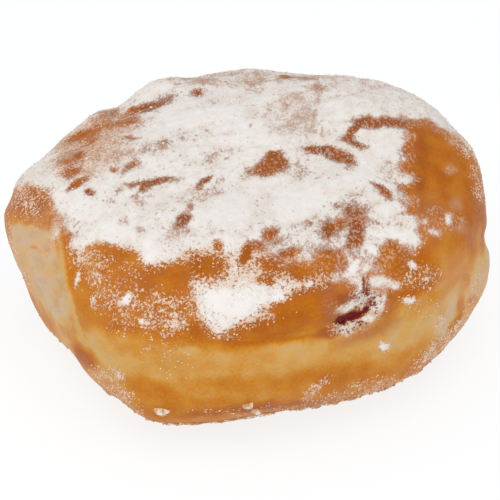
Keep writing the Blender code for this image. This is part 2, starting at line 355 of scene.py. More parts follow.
# Where the sugar inside the outline lies thickest
THICK_SPOTS = (
    Spot("crescent, left", 188, 118, 44, 12, 8, 1.00),
    Spot("crescent, middle", 225, 112, 34, 11, 0, 1.00),
    Spot("crescent, right", 248, 127, 42, 12, -16, 1.00),
    Spot("crescent, point", 285, 138, 24, 5, -4, 0.95),
    Spot("crescent, lower fold", 235, 139, 34, 5, 0, 1.00),
    Spot("back edge at the left", 166, 86, 15, 7, 22, 0.92),
    Spot("band under the long streak", 150, 156, 46, 8, 10, 0.84),
    Spot("band above the brown bar", 185, 170, 50, 6, 8, 0.84),
    Spot("streak above the middle patch", 238, 161, 32, 6, 14, 0.92),
    Spot("left end", 86, 209, 33, 16, -6, 1.00),
    Spot("lower left", 118, 231, 42, 9, -14, 0.96),
    Spot("left tongue", 150, 249, 13, 20, 0, 1.00),
    Spot("beside the left tongue", 172, 255, 12, 10, 0, 0.85),
    Spot("middle, left", 232, 210, 36, 29, 8, 0.96),
    Spot("middle, right", 296, 202, 46, 25, 14, 1.00),
    Spot("middle, upper right", 342, 181, 26, 10, 20, 0.94),
    Spot("upper right", 386, 150, 20, 15, 0, 0.88),
    Spot("right, upper", 392, 208, 15, 9, 0, 0.90),
    Spot("upright at the back", 327, 114, 10, 17, 0, 0.92),
    Spot("small at the back", 297, 88, 11, 7, 0, 0.90),
    Spot("lobe", 230, 302, 40, 22, -8, 1.00),
    Spot("neck of the lobe", 235, 266, 12, 20, -8, 0.98),
    Spot("tail of the lobe", 276, 297, 20, 7, 16, 0.86),
    Spot("beside the front dash", 305, 246, 12, 8, 0, 0.86),
)

# Sugar that lies outside the outline, or fills a bare place again
DRIFTS = (
    Spot("sliver in the fold", 78, 278, 10, 3.0, 80, 0.92),
    Spot("lower sliver", 93, 301, 9, 2.4, 88, 0.74),
    Spot("round dab", 126, 300, 9, 6, 50, 0.86),
    Spot("second dab", 144, 322, 8, 4.5, -20, 0.78),
    Spot("dab at its right", 162, 312, 5, 4, 0, 0.62),
    Spot("small dab", 173, 315, 5, 3, 0, 0.66),
    Spot("dab beside the lobe", 184, 322, 4, 6, 20, 0.72),
    Spot("low dab", 165, 337, 4, 4, 0, 0.62),
    Spot("lowest dab", 148, 347, 4, 4, 0, 0.50),
    Spot("drift over the mouth's left", 309, 285, 8, 5, 20, 0.76),
    Spot("white above the mouth", 354, 267, 12, 5.5, 62, 0.93),
    Spot("white beside it", 366, 267, 8, 9, 0, 0.74),
    Spot("white right of the mouth", 379, 281, 12, 9, 0, 0.76),
    Spot("its point", 394, 284, 9, 6, -20, 0.66),
    Spot("collar at the right", 381, 302, 17, 6, 72, 0.72),
    Spot("collar at the lower right", 369, 319, 10, 5.5, 24, 0.70),
    Spot("strip above the slit", 348, 306, 15, 4.4, 28, 0.72),
    Spot("speckled inside", 362, 294, 10, 19, 0, 0.68),
    Spot("speckled top", 358, 279, 12, 9, 0, 0.66),
    Spot("speckled right", 373, 304, 10, 16, 0, 0.70),
    Spot("speckled below the slit", 347, 328, 18, 8, 12, 0.62),
    Spot("speckled link to the crown", 350, 254, 14, 8, 0, 0.54),
    Spot("long right drift", 391, 234, 27, 7, -3, 1.00),
    Spot("upper right drift", 387, 209, 18, 8, 0, 0.95),
    Spot("bent right drift", 372, 250, 9, 6, -40, 0.90),
    Spot("dab on the right front", 409, 300, 8, 4.5, 5, 0.90),
    Spot("dab above it", 413, 265, 6, 5, -50, 0.84),
    Spot("small right dab", 427, 280, 4, 3, 0, 0.72),
    Spot("splat on the band", 383, 345, 6, 5, -20, 0.84),
    Spot("arm of the splat", 391, 341, 5, 2, 40, 0.80),
    Spot("smear on the shoulder", 449, 220, 4.5, 7.5, -10, 0.66),
    Spot("second shoulder smear", 434, 231, 8, 5, -25, 0.66),
    Spot("third shoulder smear", 424, 222, 6, 4, 0, 0.56),
    Spot("faint shoulder smear", 434, 210, 8, 4, 0, 0.28),
    Spot("faint smear higher up", 451, 170, 5, 4, 0, 0.22),
    Spot("blob beside the right end", 441, 322, 3.5, 9, 8, 0.56),
)

# Places with scattered grains only
SPECKLES = (
    Spot("left front, beside the sugar", 84, 256, 14, 12, 40, 0.58),
    Spot("pale streak beside the fold", 74, 246, 6, 18, -8, 0.62),
    Spot("left front, upper", 100, 264, 18, 15, 40, 0.44),
    Spot("left front, between", 100, 284, 15, 22, 0, 0.42),
    Spot("left front, under the sugar", 130, 268, 18, 12, 0, 0.30),
    Spot("left front, middle", 124, 304, 26, 28, 0, 0.47),
    Spot("front, beside the lobe", 164, 314, 38, 24, -8, 0.51),
    Spot("under the lobe", 222, 336, 18, 8, 0, 0.42),
    Spot("low front", 166, 346, 30, 18, 0, 0.27),
    Spot("lowest front", 175, 372, 24, 12, 0, 0.16),
    Spot("right front", 420, 277, 20, 15, 0, 0.44),
    Spot("right front, low", 425, 303, 22, 14, 0, 0.26),
    Spot("left shoulder", 30, 198, 27, 26, 0, 0.40),
    Spot("left shoulder, top", 28, 181, 20, 8, 35, 0.66),
    Spot("left shoulder, dab", 26, 204, 3, 4, 0, 0.80),
    Spot("left fold", 55, 230, 6, 24, -12, 0.56),
    Spot("left outline", 11, 238, 4, 26, 8, 0.38),
    Spot("left outline, low", 25, 276, 4, 16, 30, 0.40),
    Spot("front crust", 300, 318, 60, 22, 10, 0.10),
    Spot("right outline, upper", 477, 184, 6, 24, 10, 0.48),
    Spot("right shoulder specks", 450, 222, 16, 10, 0, 0.16),
    Spot("right outline, top", 461, 147, 15, 6, -40, 0.48),
    Spot("right end", 476, 288, 8, 22, -12, 0.30),
    Spot("rim, right", 445, 341, 42, 10, 42, 0.54),
    Spot("rim, middle right", 360, 390, 60, 8, 16, 0.40),
    Spot("rim, middle", 250, 411, 70, 6, 2, 0.26),
    Spot("rim, left", 116, 388, 34, 9, -42, 0.42),
    Spot("sugar streak to the rim", 316, 388, 22, 5, 42, 0.48),
    Spot("pale patch at the lower left", 117, 376, 13, 9, -60, 0.50),
)

# Dust that lies evenly under the thin sugar, a thin veil over the bare crust, and the jam's stains
EVEN_DUST = (
    # At the back and the far right this dust is partly painted shade that greys the top where it turns
    # away.
    Spot("at the back", 300, 112, 48, 26, -6, 0.54),
    Spot("at the back right", 368, 100, 54, 16, -18, 0.66),
    Spot("along the back edge", 240, 80, 110, 9, 0, 0.40),
    Spot("on the left shoulder", 84, 150, 40, 34, 35, 0.12),
    Spot("at the far right", 430, 112, 30, 8, -42, 0.66),
)
VEILS = (
    Spot("dust on the left end", 32, 260, 22, 44, -20, 0.26),
    Spot("left shoulder", 34, 192, 22, 14, 0, 0.08),
    Spot("top of the left shoulder", 26, 181, 20, 9, 35, 0.30),
    Spot("left front", 124, 292, 36, 36, 0, 0.05),
    Spot("left of the mouth", 344, 289, 9, 6, 0, 0.06),
    Spot("shoulder near the sugar", 428, 225, 18, 22, 0, 0.10),
    Spot("upper smear on the shoulder", 451, 169, 6, 5, 0, 0.22),
    Spot("middle smear on the shoulder", 456, 204, 6, 6, 0, 0.24),
    Spot("lower smear on the shoulder", 459, 228, 8, 6, 0, 0.18),
    Spot("right end", 464, 290, 20, 30, 20, 0.27),
    Spot("above the right band", 440, 327, 6, 12, 20, 0.45),
)
STAINS = (
    Spot("left of the mouth", 331, 306, 8, 22, 10, 0.66),
    Spot("film inside", 348, 300, 8, 5, 15, 0.30),
    Spot("film over the jam", 347, 289, 6, 5, 0, 0.20),
    Spot("below the mouth", 370, 332, 32, 7.5, 22, 0.62),
    Spot("right of the mouth", 388, 308, 7, 16, -30, 0.60),
    Spot("seep in the groove", 330, 334, 16, 5, 15, 0.60),
)

# Where the wet sugar clings in small crystals although it lies high
CLINGING = (
    Spot("left end", 30, 200, 26, 34, 0, 1.00),
    Spot("left shoulder", 84, 146, 40, 26, 40, 0.80),
    Spot("right outline", 474, 176, 12, 44, 15, 1.00),
)

# Where it stays dry although it lies low
DRY = (
    Spot("round the mouth", 358, 297, 30, 42, 0, 0.90),
    Spot("right of the mouth", 388, 284, 16, 12, 0, 0.80),
)

# Where the jam lies bare: the slit, and small places round it that are partly open
OPEN_JAM = (
    Spot("slit", 353, 316, 13, 5.4, 19, 0.96),
    Spot("left end of the slit", 341, 321, 7, 5.2, 10, 0.90),
    Spot("right end of the slit", 364, 310, 8, 4.6, 30, 0.84),
    Spot("openings past the right end", 371, 302, 8, 6, 50, 0.64),
    Spot("upright row of openings", 366, 288, 5, 13, 0, 0.68),
    Spot("openings below the slit", 350, 327, 18, 6.0, 12, 0.50),
    Spot("openings inside", 360, 298, 11, 12, 0, 0.49),
    Spot("openings at the right", 376, 303, 7, 14, 0, 0.45),
)

# How brown the crust is where that doesn't follow from its height: the amount is the new brownness
TONES = (
    Spot("right shoulder", 445, 190, 42, 80, 0, 0.66),
    Spot("right shoulder, low", 452, 262, 16, 26, 20, 0.50),
    Spot("crust below the lobe", 250, 332, 34, 8, 6, 0.67),
    Spot("crust left of the mouth", 305, 318, 26, 10, 10, 0.70),
    Spot("left front crust", 84, 300, 13, 34, -8, 0.58),
    Spot("front crust bare of sugar", 130, 268, 16, 14, 0, 0.66),
    Spot("front crust, middle", 160, 290, 24, 12, 0, 0.70),
    Spot("band, left", 145, 352, 26, 8, 0, 0.36),
    Spot("blotch in the band", 190, 351, 9, 5, 0, 0.22),
    Spot("band, middle", 290, 353, 44, 10, 2, 0.24),
    Spot("band, right", 404, 334, 36, 12, 22, 0.20),
    Spot("orange field at the right", 393, 257, 20, 14, -20, 0.68),
    Spot("front patches", 300, 265, 50, 12, 5, 0.73),
    Spot("under the dust of the left shoulder", 92, 144, 50, 34, 35, 0.80),
    Spot("edge of the right shoulder", 421, 168, 7, 44, 2, 0.76),
    Spot("low front, middle", 245, 386, 64, 9, 0, 0.49),
    Spot("pale streak in the band", 240, 362, 46, 8, 3, 0.30),
    Spot("low front, right of the middle", 330, 376, 46, 10, 8, 0.57),
    Spot("low front, left", 150, 388, 34, 8, -20, 0.55),
    Spot("rim, middle", 280, 406, 90, 4, 5, 0.78),
    Spot("dark lower left", 83, 357, 17, 9, -47, 0.82),
    Spot("brown below the pale end", 41, 313, 36, 7, -53, 0.57),
    Spot("rosy patch below it", 66, 332, 12, 5, -48, 0.42),
    Spot("brown above the pale end", 30, 200, 24, 21, 0, 0.76),
    Spot("orange smear above the pale end", 33, 219, 13, 4, -28, 0.58),
    Spot("bare streak beside the fold", 63, 243, 3.5, 13, 5, 0.70),
    Spot("brown outline of the left end", 8, 234, 2.8, 24, 8, 0.55),
    Spot("brown outline, lower", 22, 272, 4, 22, 30, 0.50),
    Spot("golden blotch in the pale end", 22, 262, 7, 12, 25, 0.24),
    Spot("speck in the pale end", 34, 247, 4, 1.5, -20, 0.48),
    Spot("speck beside it", 39, 251, 1.6, 1.6, 0, 0.42),
    Spot("stain beside it", 45, 251, 7, 2.5, 14, 0.36),
    Spot("shade in the pale end", 47, 270, 7, 9, 0, 0.20),
    Spot("blotch in the pale end", 30, 232, 9, 4, -10, 0.14),
    Spot("film over the mouth", 347, 299, 9, 6, 15, 1.00),
    # Darker in the groove left of the mouth as painted shade.
    Spot("groove left of the mouth", 330, 332, 15, 5, 15, 0.86),
    Spot("speckled right end", 466, 282, 4, 10, 15, 0.50),
    Spot("beyond the pinch", 474, 302, 8, 6, 40, 0.56),
    # Darker in the pinch at the right end as painted shade.
    Spot("pinch at the right end", 460, 308, 2.6, 18, -8, 0.80),
    Spot("right outline", 483, 210, 3, 36, 0, 0.80),
)

# Where the skin stands out or is dented, in millimetres
SWELLINGS = (
    Spot("dip in the left shoulder", 118, 104, 13, 13, 0, -1.1),
    Spot("rise beside it", 160, 84, 17, 11, 10, 0.8),
    Spot("dip above the left lip", 8, 197, 10, 11, 0, -0.6),
    Spot("dip below the right shoulder", 482, 238, 10, 9, 0, -0.7),
    Spot("bulge of the right end", 486, 274, 12, 24, 0, 0.5),
)

# The lumps on the rim: where they are seen, and their width and height in millimetres
Lump = namedtuple("Lump", "name across down width height")
RIM_LUMPS = (
    Lump("left lump", 162, 411, 2.4, 1.8),
    Lump("middle lump", 248, 405, 1.9, 1.5),
    Lump("lump beside it", 256, 410, 1.8, 1.3),
)
LUMP_ROUGHNESS = 0.35
LUMP_UNEVENNESS = 1.3
NOISE_SHIFT = 1000


# Small helpers for numbers and fields
def smooth_step(low, high, values):
    ratio = np.clip((values - low) / (high - low), 0, 1)
    return ratio * ratio * (3 - 2 * ratio)


def blend(first, second, share):
    return first * (1 - share) + second * share


def from_screen(red, green, blue):
    """A colour as it is seen on a screen, turned to the linear values that a shader takes."""
    linear = []
    for value in (red, green, blue):
        ratio = value / 255
        linear.append(ratio / 12.92 if ratio <= 0.04045 else ((ratio + 0.055) / 1.055) ** 2.4)
    return (*linear, 1.0)


def rough_field(points, size, seed, octaves=1):
    """Smooth random values from about -1 to 1 at the points, with lumps of the given size."""
    total = np.zeros(len(points))
    strength = 1.0
    for octave in range(octaves):
        placed = (points / size + seed * 17.31 + octave * 5.7).tolist()
        total += strength * np.array([noise.noise(place) for place in placed])
        size = size / 2
        strength = strength / 2
    return total


def stretched(points, turn, along, across, up):
    """The points turned about Z and divided by three sizes, for long narrow patterns."""
    cosine, sine = math.cos(turn), math.sin(turn)
    x = points[:, 0] * cosine + points[:, 1] * sine
    y = points[:, 1] * cosine - points[:, 0] * sine
    return np.column_stack((x / along, y / across, points[:, 2] / up))


def turn_between(azimuths, middle):
    return (azimuths - middle + 180) % 360 - 180


# The photograph's frame
def direction(azimuth, elevation):
    """From the beignet to what stands at that azimuth, counted from its front, and elevation."""
    level = math.cos(elevation)
    return Vector((math.sin(azimuth) * level, -math.cos(azimuth) * level, math.sin(elevation)))


def view_axes():
    """From the beignet back to the camera, to its right, and up in its picture."""
    back = direction(VIEW_AZIMUTH, VIEW_ELEVATION)
    right = Vector((math.cos(VIEW_AZIMUTH), math.sin(VIEW_AZIMUTH), 0))
    return back, right, back.cross(right)


def camera_place():
    back, right, up = view_axes()
    metres_per_pixel = VIEW_DISTANCE / FOCAL_PIXELS
    to_left = (TARGET_ACROSS - PHOTO_SIDE / 2) * metres_per_pixel
    downwards = (PHOTO_SIDE / 2 - TARGET_DOWN) * metres_per_pixel
    return VIEW_TARGET + back * VIEW_DISTANCE - right * to_left - up * downwards


def in_photograph(points):
    """Where the points appear in the photograph's frame, in pixels across and down."""
    back, right, up = (np.array(axis) for axis in view_axes())
    from_camera = points - np.array(camera_place())
    scale = FOCAL_PIXELS / -(from_camera @ back)
    return (
        PHOTO_SIDE / 2 + (from_camera @ right) * scale,
        PHOTO_SIDE / 2 - (from_camera @ up) * scale,
    )


def spot_field(across, down, spot, soft):
    """1 inside the spot, falling to 0 past its edge."""
    turn = math.radians(spot.turn)
    x = across - spot.across
    y = down - spot.down
    along = x * math.cos(turn) - y * math.sin(turn)
    sideways = x * math.sin(turn) + y * math.cos(turn)
    reach = np.hypot(along / spot.length, sideways / spot.breadth)
    return 1 - smooth_step(1 - soft, 1 + soft, reach)


def distance_to_edge(across, down, start, end):
    """How many pixels each place lies from the straight line between two corners."""
    along = end - start
    share = ((across - start[0]) * along[0] + (down - start[1]) * along[1]) / (along @ along)
    share = np.clip(share, 0, 1)
    return np.hypot(across - start[0] - share * along[0], down - start[1] - share * along[1])


def distance_to_line(across, down, line):
    corners = np.array(line, float)
    edges = zip(corners, corners[1:])
    return np.minimum.reduce([distance_to_edge(across, down, *edge) for edge in edges])


def distance_inside(across, down, outline):
    """How many pixels each place lies inside the outline, negative outside it."""
    corners = np.array(outline, float)
    inside = np.zeros(len(across), bool)
    for (x0, y0), (x1, y1) in zip(corners, np.roll(corners, -1, axis=0)):
        crosses = (y0 > down) != (y1 > down)
        with np.errstate(divide="ignore", invalid="ignore"):
            left_of = across < x0 + (down - y0) / (y1 - y0) * (x1 - x0)
        inside ^= crosses & left_of
    nearest = distance_to_line(across, down, (*outline, outline[0]))
    return np.where(inside, nearest, -nearest)


# Meshes as arrays
def node_mesh(name):
    """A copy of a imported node's mesh, with its loose triangles merged."""
    mesh = bmesh.new()
    mesh.from_mesh(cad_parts[name].data)
    bmesh.ops.remove_doubles(mesh, verts=mesh.verts[:], dist=1e-6)
    return mesh


def mesh_arrays(data):
    points = np.empty(len(data.vertices) * 3, np.float32)
    data.vertices.foreach_get("co", points)
    normals = np.empty(len(data.vertices) * 3, np.float32)
    data.vertex_normals.foreach_get("vector", normals)
    return points.reshape(-1, 3).astype(float), normals.reshape(-1, 3).astype(float)


def set_points(data, points):
    data.vertices.foreach_set("co", points.astype(np.float32).ravel())
    data.update()


def set_attribute(data, name, values):
    attribute = data.attributes.get(name) or data.attributes.new(name, "FLOAT", "POINT")
    attribute.data.foreach_set("value", values.astype(np.float32))


def new_object(name, data):
    obj = bpy.data.objects.new(name, data)
    bpy.context.scene.collection.objects.link(obj)
    return obj


def new_mesh(name, points, faces):
    data = bpy.data.meshes.new(name)
    data.from_pydata(points.tolist(), [], faces.tolist())
    data.update()
    return data


def object_from(name, mesh):
    """An object whose shape is the loose mesh, which is used up."""
    data = bpy.data.meshes.new(name)
    mesh.to_mesh(data)
    mesh.free()
    return new_object(name, data)


def set_material(data, material):
    data.materials.clear()
    data.materials.append(material)


def applied(obj, name):
    """The object's shape with its modifiers, as a new plain object; the first one is removed."""
    depsgraph = bpy.context.evaluated_depsgraph_get()
    data = bpy.data.meshes.new_from_object(obj.evaluated_get(depsgraph), depsgraph=depsgraph)
    bpy.data.objects.remove(obj)
    data.name = name
    return new_object(name, data)


# The grid of the crust
def cube_grid(cuts):
    """Even squares over a cube: the vertices' places from -1 to 1, and each square's corners."""
    steps = np.arange(cuts + 1)
    first, second = np.meshgrid(steps, steps, indexing="ij")
    squares = []
    for axis in range(3):
        for side in (0, cuts):
            layer = np.empty((cuts + 1, cuts + 1, 3), int)
            layer[..., axis] = side
            layer[..., (axis + 1) % 3] = first
            layer[..., (axis + 2) % 3] = second
            corners = [layer[:-1, :-1], layer[1:, :-1], layer[1:, 1:], layer[:-1, 1:]]
            if side == 0:
                corners.reverse()
            squares.append(np.stack(corners, axis=2).reshape(-1, 4, 3))
    corners = np.concatenate(squares)
    row = cuts + 1
    keys, which = np.unique(corners @ [row * row, row, 1], return_inverse=True)
    places = np.column_stack((keys // (row * row), keys // row % row, keys % row))
    return places * 2 / cuts - 1, which.reshape(-1, 4)


def neighbour_mean(values, edges, count):
    a, b = edges
    total = np.bincount(a, values[b], count) + np.bincount(b, values[a], count)
    return total / (np.bincount(a, minlength=count) + np.bincount(b, minlength=count))


def grid_edges(squares):
    pairs = np.concatenate([squares[:, (i, (i + 1) % 4)] for i in range(4)])
    return np.unique(np.sort(pairs, axis=1), axis=0).T


# The mouth
class Mouth:
    """The ring where the jam meets the open air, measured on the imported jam."""

    def __init__(self):
        jam = node_mesh("raspberry_jam")
        points = np.array([vertex.co for vertex in jam.verts])
        jam.free()
        front = points[points[:, 1] < points[:, 1].min() + MOUTH_RING_DEPTH]
        self.middle = front.mean(axis=0)
        flat = front[:, (0, 2)] - self.middle[[0, 2]]
        spreads, axes = np.linalg.eigh(np.cov(flat.T))
        self.half_breadth, self.half_length = np.sqrt(2 * spreads)
        self.along = axes[:, 1] * math.copysign(1, axes[0, 1])

    def local(self, points):
        x = points[:, 0] - self.middle[0]
        z = points[:, 2] - self.middle[2]
        along = x * self.along[0] + z * self.along[1]
        across = z * self.along[0] - x * self.along[1]
        return along, across

    def reach(self, points):
        """1 on the ring, less inside it; far away behind the middle of the beignet."""
        along, across = self.local(points)
        ratio = np.hypot(along / self.half_length, across / self.half_breadth)
        return np.where(points[:, 1] < 0, ratio, FAR_AWAY)

    def gap(self, points):
        """About how far outside the ring each point lies."""
        along, across = self.local(points)
        reach = np.maximum(self.reach(points), 1e-3)
        return (reach - 1) * np.hypot(along, across) / reach


MOUTH = Mouth()


# What the crust looks like at a point
class Paint:
    """Works out, for the points of a surface, how brown, sugared, veiled and stained they are."""

    def __init__(self, points, normals):
        self.points = points
        self.normals = normals
        self.height = points[:, 2]
        self.azimuth = np.degrees(np.arctan2(points[:, 1], points[:, 0])) % 360
        across, down = in_photograph(points)
        self.wander = WANDER_PIXELS * rough_field(points, WANDER_SIZE, 1, 2)
        self.drift = WANDER_PIXELS * rough_field(points, WANDER_SIZE, 2, 2)
        self.across = across + self.wander
        self.down = down + self.drift
        to_camera = np.array(camera_place()) - points
        to_camera /= np.linalg.norm(to_camera, axis=1)[:, None]
        facing = (to_camera * normals).sum(axis=1)
        self.seen = smooth_step(-0.02, 0.10, facing)
        self.inside = distance_inside(self.across, self.down, SUGAR_OUTLINE)

    def creases(self):
        """How strongly each crease is felt at the points."""
        across = self.across - 0.5 * self.wander
        down = self.down - 0.5 * self.drift
        for crease in CREASES:
            gap = distance_to_line(across, down, crease.places)
            yield crease, self.seen * np.exp(-((gap / crease.width) ** 2))

    def spots(self, spots, soft=0.7):
        return [(spot, self.seen * spot_field(self.across, self.down, spot, soft)) for spot in spots]

    def blotches(self, pixels, seed, octaves):
        """Smooth random values that lie evenly over what the photograph shows."""
        seen_places = np.column_stack((self.across, self.down, 0 * self.down))
        return rough_field(seen_places, pixels, seed, octaves)

    def brownness(self):
        """How brown the crust is painted: fried pale in the band, golden below it and brown above, with
        painted shade along its bottom edge, in its grooves and its pinch, and a painted highlight on
        the left fold's ridge.
        """
        lumps = rough_field(self.points, 9 * MM, 3, 3)
        above = self.height - BAND_HEIGHT - 1.2 * MM * rough_field(self.points, 16 * MM, 4)
        upper = smooth_step(3.0 * MM, 7.2 * MM, above + 0.8 * MM * lumps)
        lower = smooth_step(2.0 * MM, 10 * MM, -above + 1.2 * MM * lumps)
        # Darker towards the bottom, and darker still along the very bottom edge as painted shade where
        # the dough meets the floor.
        rim = 0.38 * smooth_step(9.5 * MM, 3.5 * MM, self.height + 1.8 * MM * lumps)
        rim = rim + 0.40 * smooth_step(2.4 * MM, 0.6 * MM, self.height + 0.6 * MM * lumps)
        fry_and_painted_light = BAND_BROWNNESS + BROWNER_ABOVE * upper + BROWNER_BELOW * lower + rim
        for end in PALE_ENDS:
            pale = np.exp(-((turn_between(self.azimuth, end.azimuth) / end.spread) ** 2))
            pale *= np.exp(-(((self.height - end.height) / end.reach) ** 2))
            fry_and_painted_light = blend(fry_and_painted_light, end.brownness, np.clip(end.strength * pale, 0, 1))
        under_sugar = smooth_step(*UNDER_SUGAR_SOFTNESS, self.inside)
        under_sugar = np.where(self.seen > 0.5, under_sugar, self.crown())
        fry_and_painted_light = blend(fry_and_painted_light, CROWN_BROWNNESS - 0.16 * self.moist(), under_sugar)
        blotches = 0.23 * self.blotches(BLOTCH_PIXELS, 8, 4)
        for outline, tone in ((PALE_LEFT, PALE_LEFT_BROWNNESS), (PALE_RIGHT, PALE_RIGHT_BROWNNESS)):
            pale = distance_inside(self.across, self.down, outline)
            fry_and_painted_light = blend(fry_and_painted_light, tone + blotches, self.seen * smooth_step(*PALE_SOFTNESS, pale))
        for spot, share in self.spots(TONES, 0.6):
            fry_and_painted_light = blend(fry_and_painted_light, spot.amount, share)
        # The creases' brownness: painted shade in the grooves and the pinch, and a painted highlight on
        # the left fold's ridge.
        for crease, share in self.creases():
            fry_and_painted_light = blend(fry_and_painted_light, crease.brownness, 0.8 * share)
        return np.clip(fry_and_painted_light + 0.06 * lumps, 0, 1)

    def crown(self):
        return smooth_step(CROWN_LOW, CROWN_HIGH, self.height)

    def sugar(self):
        """How thick the icing sugar lies: nothing at 0, a closed white layer at 1."""
        along = stretched(self.points, DRIFT_TURN, 9 * MM, 5 * MM, 6 * MM)
        clouds = 0.79 + 0.17 * rough_field(along, 1, 7, 3)
        shown = smooth_step(*SUGAR_SOFTNESS, self.inside) * clouds
        for spot, share in self.spots(THICK_SPOTS):
            shown = np.maximum(shown, spot.amount * share)
        for spot, share in self.spots(BARE_SPOTS):
            shown = shown * (1 - 0.9 * spot.amount ** 2 * share)
        gathered = 1.0 + 0.45 * rough_field(self.points, 2.6 * MM, 9, 2)
        for spot, share in self.spots(SPECKLES):
            shown = np.maximum(shown, spot.amount * share * gathered)
        for spot, share in self.spots(DRIFTS):
            shown = np.maximum(shown, spot.amount * share)
        shown = shown * (1 - smooth_step(0.5, 1.0, self.open_jam()))
        return blend(self.unseen_sugar(), shown, self.seen)

    def unseen_sugar(self):
        """The same kind of dusting on the sides that the photograph doesn't show."""
        edge = SUGAR_EDGE_HEIGHT + 3.0 * MM * rough_field(self.points, 12 * MM, 5, 2)
        dusted = smooth_step(edge - 3.5 * MM, edge + 3.0 * MM, self.height)
        streaks = stretched(self.points, DRIFT_TURN, 9 * MM, 4 * MM, 6 * MM)
        worn = smooth_step(0.12, 0.50, rough_field(streaks, 1, 6, 2))
        rim = 0.40 * smooth_step(6.0 * MM, 2.0 * MM, self.height)
        return np.maximum(dusted * (1 - 0.8 * worn), rim)

    def veil(self):
        """How much fine even dust lies over the crust between the sugar."""
        shown = 0.05 * smooth_step(*VEIL_SOFTNESS, self.inside)
        for spot, share in self.spots(EVEN_DUST, 0.8):
            within = smooth_step(*DUST_SOFTNESS, self.inside)
            shown = np.maximum(shown, spot.amount * share * within)
        for spot, share in self.spots(BARE_SPOTS):
            if spot.amount > 0.7:
                shown = shown * (1 - share)
        for spot, share in self.spots(VEILS, 0.8):
            shown = np.maximum(shown, spot.amount * share)
        return blend(0.05 * self.crown(), shown, self.seen)

    def moist(self):
        """Where the sugar has drawn fat and clings in small crystals, below the dry crown."""
        left = smooth_step(*FRONT_LEFT, self.across)
        right = smooth_step(*FRONT_RIGHT, self.across)
        from_top = MOIST_FROM + FRONT_DROP * left * right
        shown = smooth_step(from_top, from_top + MOIST_SOFTNESS, self.down)
        for spot, share in self.spots(CLINGING, 0.8):
            shown = np.maximum(shown, spot.amount * share)
        for spot, share in self.spots(DRY, 0.5):
            shown = shown * (1 - spot.amount * share)
        hidden = smooth_step(DRY_HEIGHT, MOIST_HEIGHT, self.height)
        return blend(hidden, shown, self.seen)

    def open_jam(self):
        """How far the jam lies bare of crust and sugar."""
        total = np.zeros(len(self.points))
        for spot in OPEN_JAM:
            share = spot_field(self.across, self.down, spot, 0.6)
            total = np.maximum(total, spot.amount * share * self.seen)
        return total

    def swelling(self):
        """How far the skin's larger lumps and dents stand out, on both sides of the outline."""
        across, down = self.across - self.wander, self.down - self.drift
        total = sum(spot.amount * MM * spot_field(across, down, spot, 0.9) for spot in SWELLINGS)
        return total * smooth_step(4 * MM, 10 * MM, self.height)

    def stain(self):
        """How far the jam and the frying fat have reddened the crust."""
        blotches = np.clip(0.6 * self.blotches(0.7 * BLOTCH_PIXELS, 9, 3), 0, 0.22)
        pale = distance_inside(self.across, self.down, PALE_LEFT)
        total = self.seen * blotches * smooth_step(*PALE_SOFTNESS, pale)
        for spot, share in self.spots(STAINS, 0.7):
            total = np.maximum(total, spot.amount * share)
        return total


# Node trees
class Board:
    """Adds nodes to a tree and links them as it goes."""

    def __init__(self, tree):
        self.tree = tree
        self.shader = tree.nodes.get("Principled BSDF")

    def put(self, kind, settings=(), **inputs):
        node = self.tree.nodes.new(kind)
        for name, value in dict(settings).items():
            setattr(node, name, value)
        for name, value in inputs.items():
            self.feed(node.inputs[name.replace("_", " ")], value)
        return node

    def feed(self, socket, value):
        if isinstance(value, bpy.types.NodeSocket):
            self.tree.links.new(value, socket)
        else:
            socket.default_value = value

    def finish(self, **inputs):
        """Sets or links the shader's own sockets."""
        for name, value in inputs.items():
            self.feed(self.shader.inputs[name.replace("_", " ")], value)

    def math(self, operation, first, second, clamp=False):
        node = self.put("ShaderNodeMath", {"operation": operation, "use_clamp": clamp})
        self.feed(node.inputs[0], first)
        self.feed(node.inputs[1], second)
        return node.outputs[0]

    def plus(self, first, second, clamp=False):
        return self.math("ADD", first, second, clamp)

    def minus(self, first, second):
        return self.math("SUBTRACT", first, second)

    def times(self, first, second, clamp=False):
        return self.math("MULTIPLY", first, second, clamp)

    def mix(self, share, first, second, kind="MIX"):
        node = self.put("ShaderNodeMix", {"data_type": "RGBA", "blend_type": kind})
        self.feed(node.inputs["Factor"], share)
        self.feed(node.inputs["A"], first)
        self.feed(node.inputs["B"], second)
        return node.outputs["Result"]

    def field(self, name):
        node = self.put("ShaderNodeAttribute", {"attribute_name": name})
        return node.outputs["Fac"]

    def noise(self, places, size, detail, roughness):
        node = self.put(
            "ShaderNodeTexNoise", Vector=places, Scale=1 / size, Detail=detail, Roughness=roughness
        )
        return node.outputs["Fac"]

    def rises(self, places, size, detail, roughness):
        """Noise with more contrast, from -0.5 in the hollows to 0.5 on the lumps."""
        return self.spread(self.noise(places, size, detail, roughness), 0.25, 0.75, -0.5, 0.5)

    def spread(self, value, low, high, new_low=0.0, new_high=1.0):
        node = self.put("ShaderNodeMapRange", {"interpolation_type": "SMOOTHSTEP"}, Value=value)
        node.inputs["From Min"].default_value = low
        node.inputs["From Max"].default_value = high
        node.inputs["To Min"].default_value = new_low
        node.inputs["To Max"].default_value = new_high
        return node.outputs["Result"]

    def ramp(self, value, *stops):
        node = self.put("ShaderNodeValToRGB", Fac=value)
        line = node.color_ramp
        while len(line.elements) < len(stops):
            line.elements.new(0.5)
        for element, (place, colour) in zip(line.elements, stops):
            element.position = place
            element.color = colour
        return node.outputs["Color"]

    def bump(self, height, strength, distance):
        node = self.put("ShaderNodeBump", Height=height, Strength=strength, Distance=distance)
        return node.outputs["Normal"]

    def places(self):
        return self.put("ShaderNodeTexCoord").outputs["Object"]


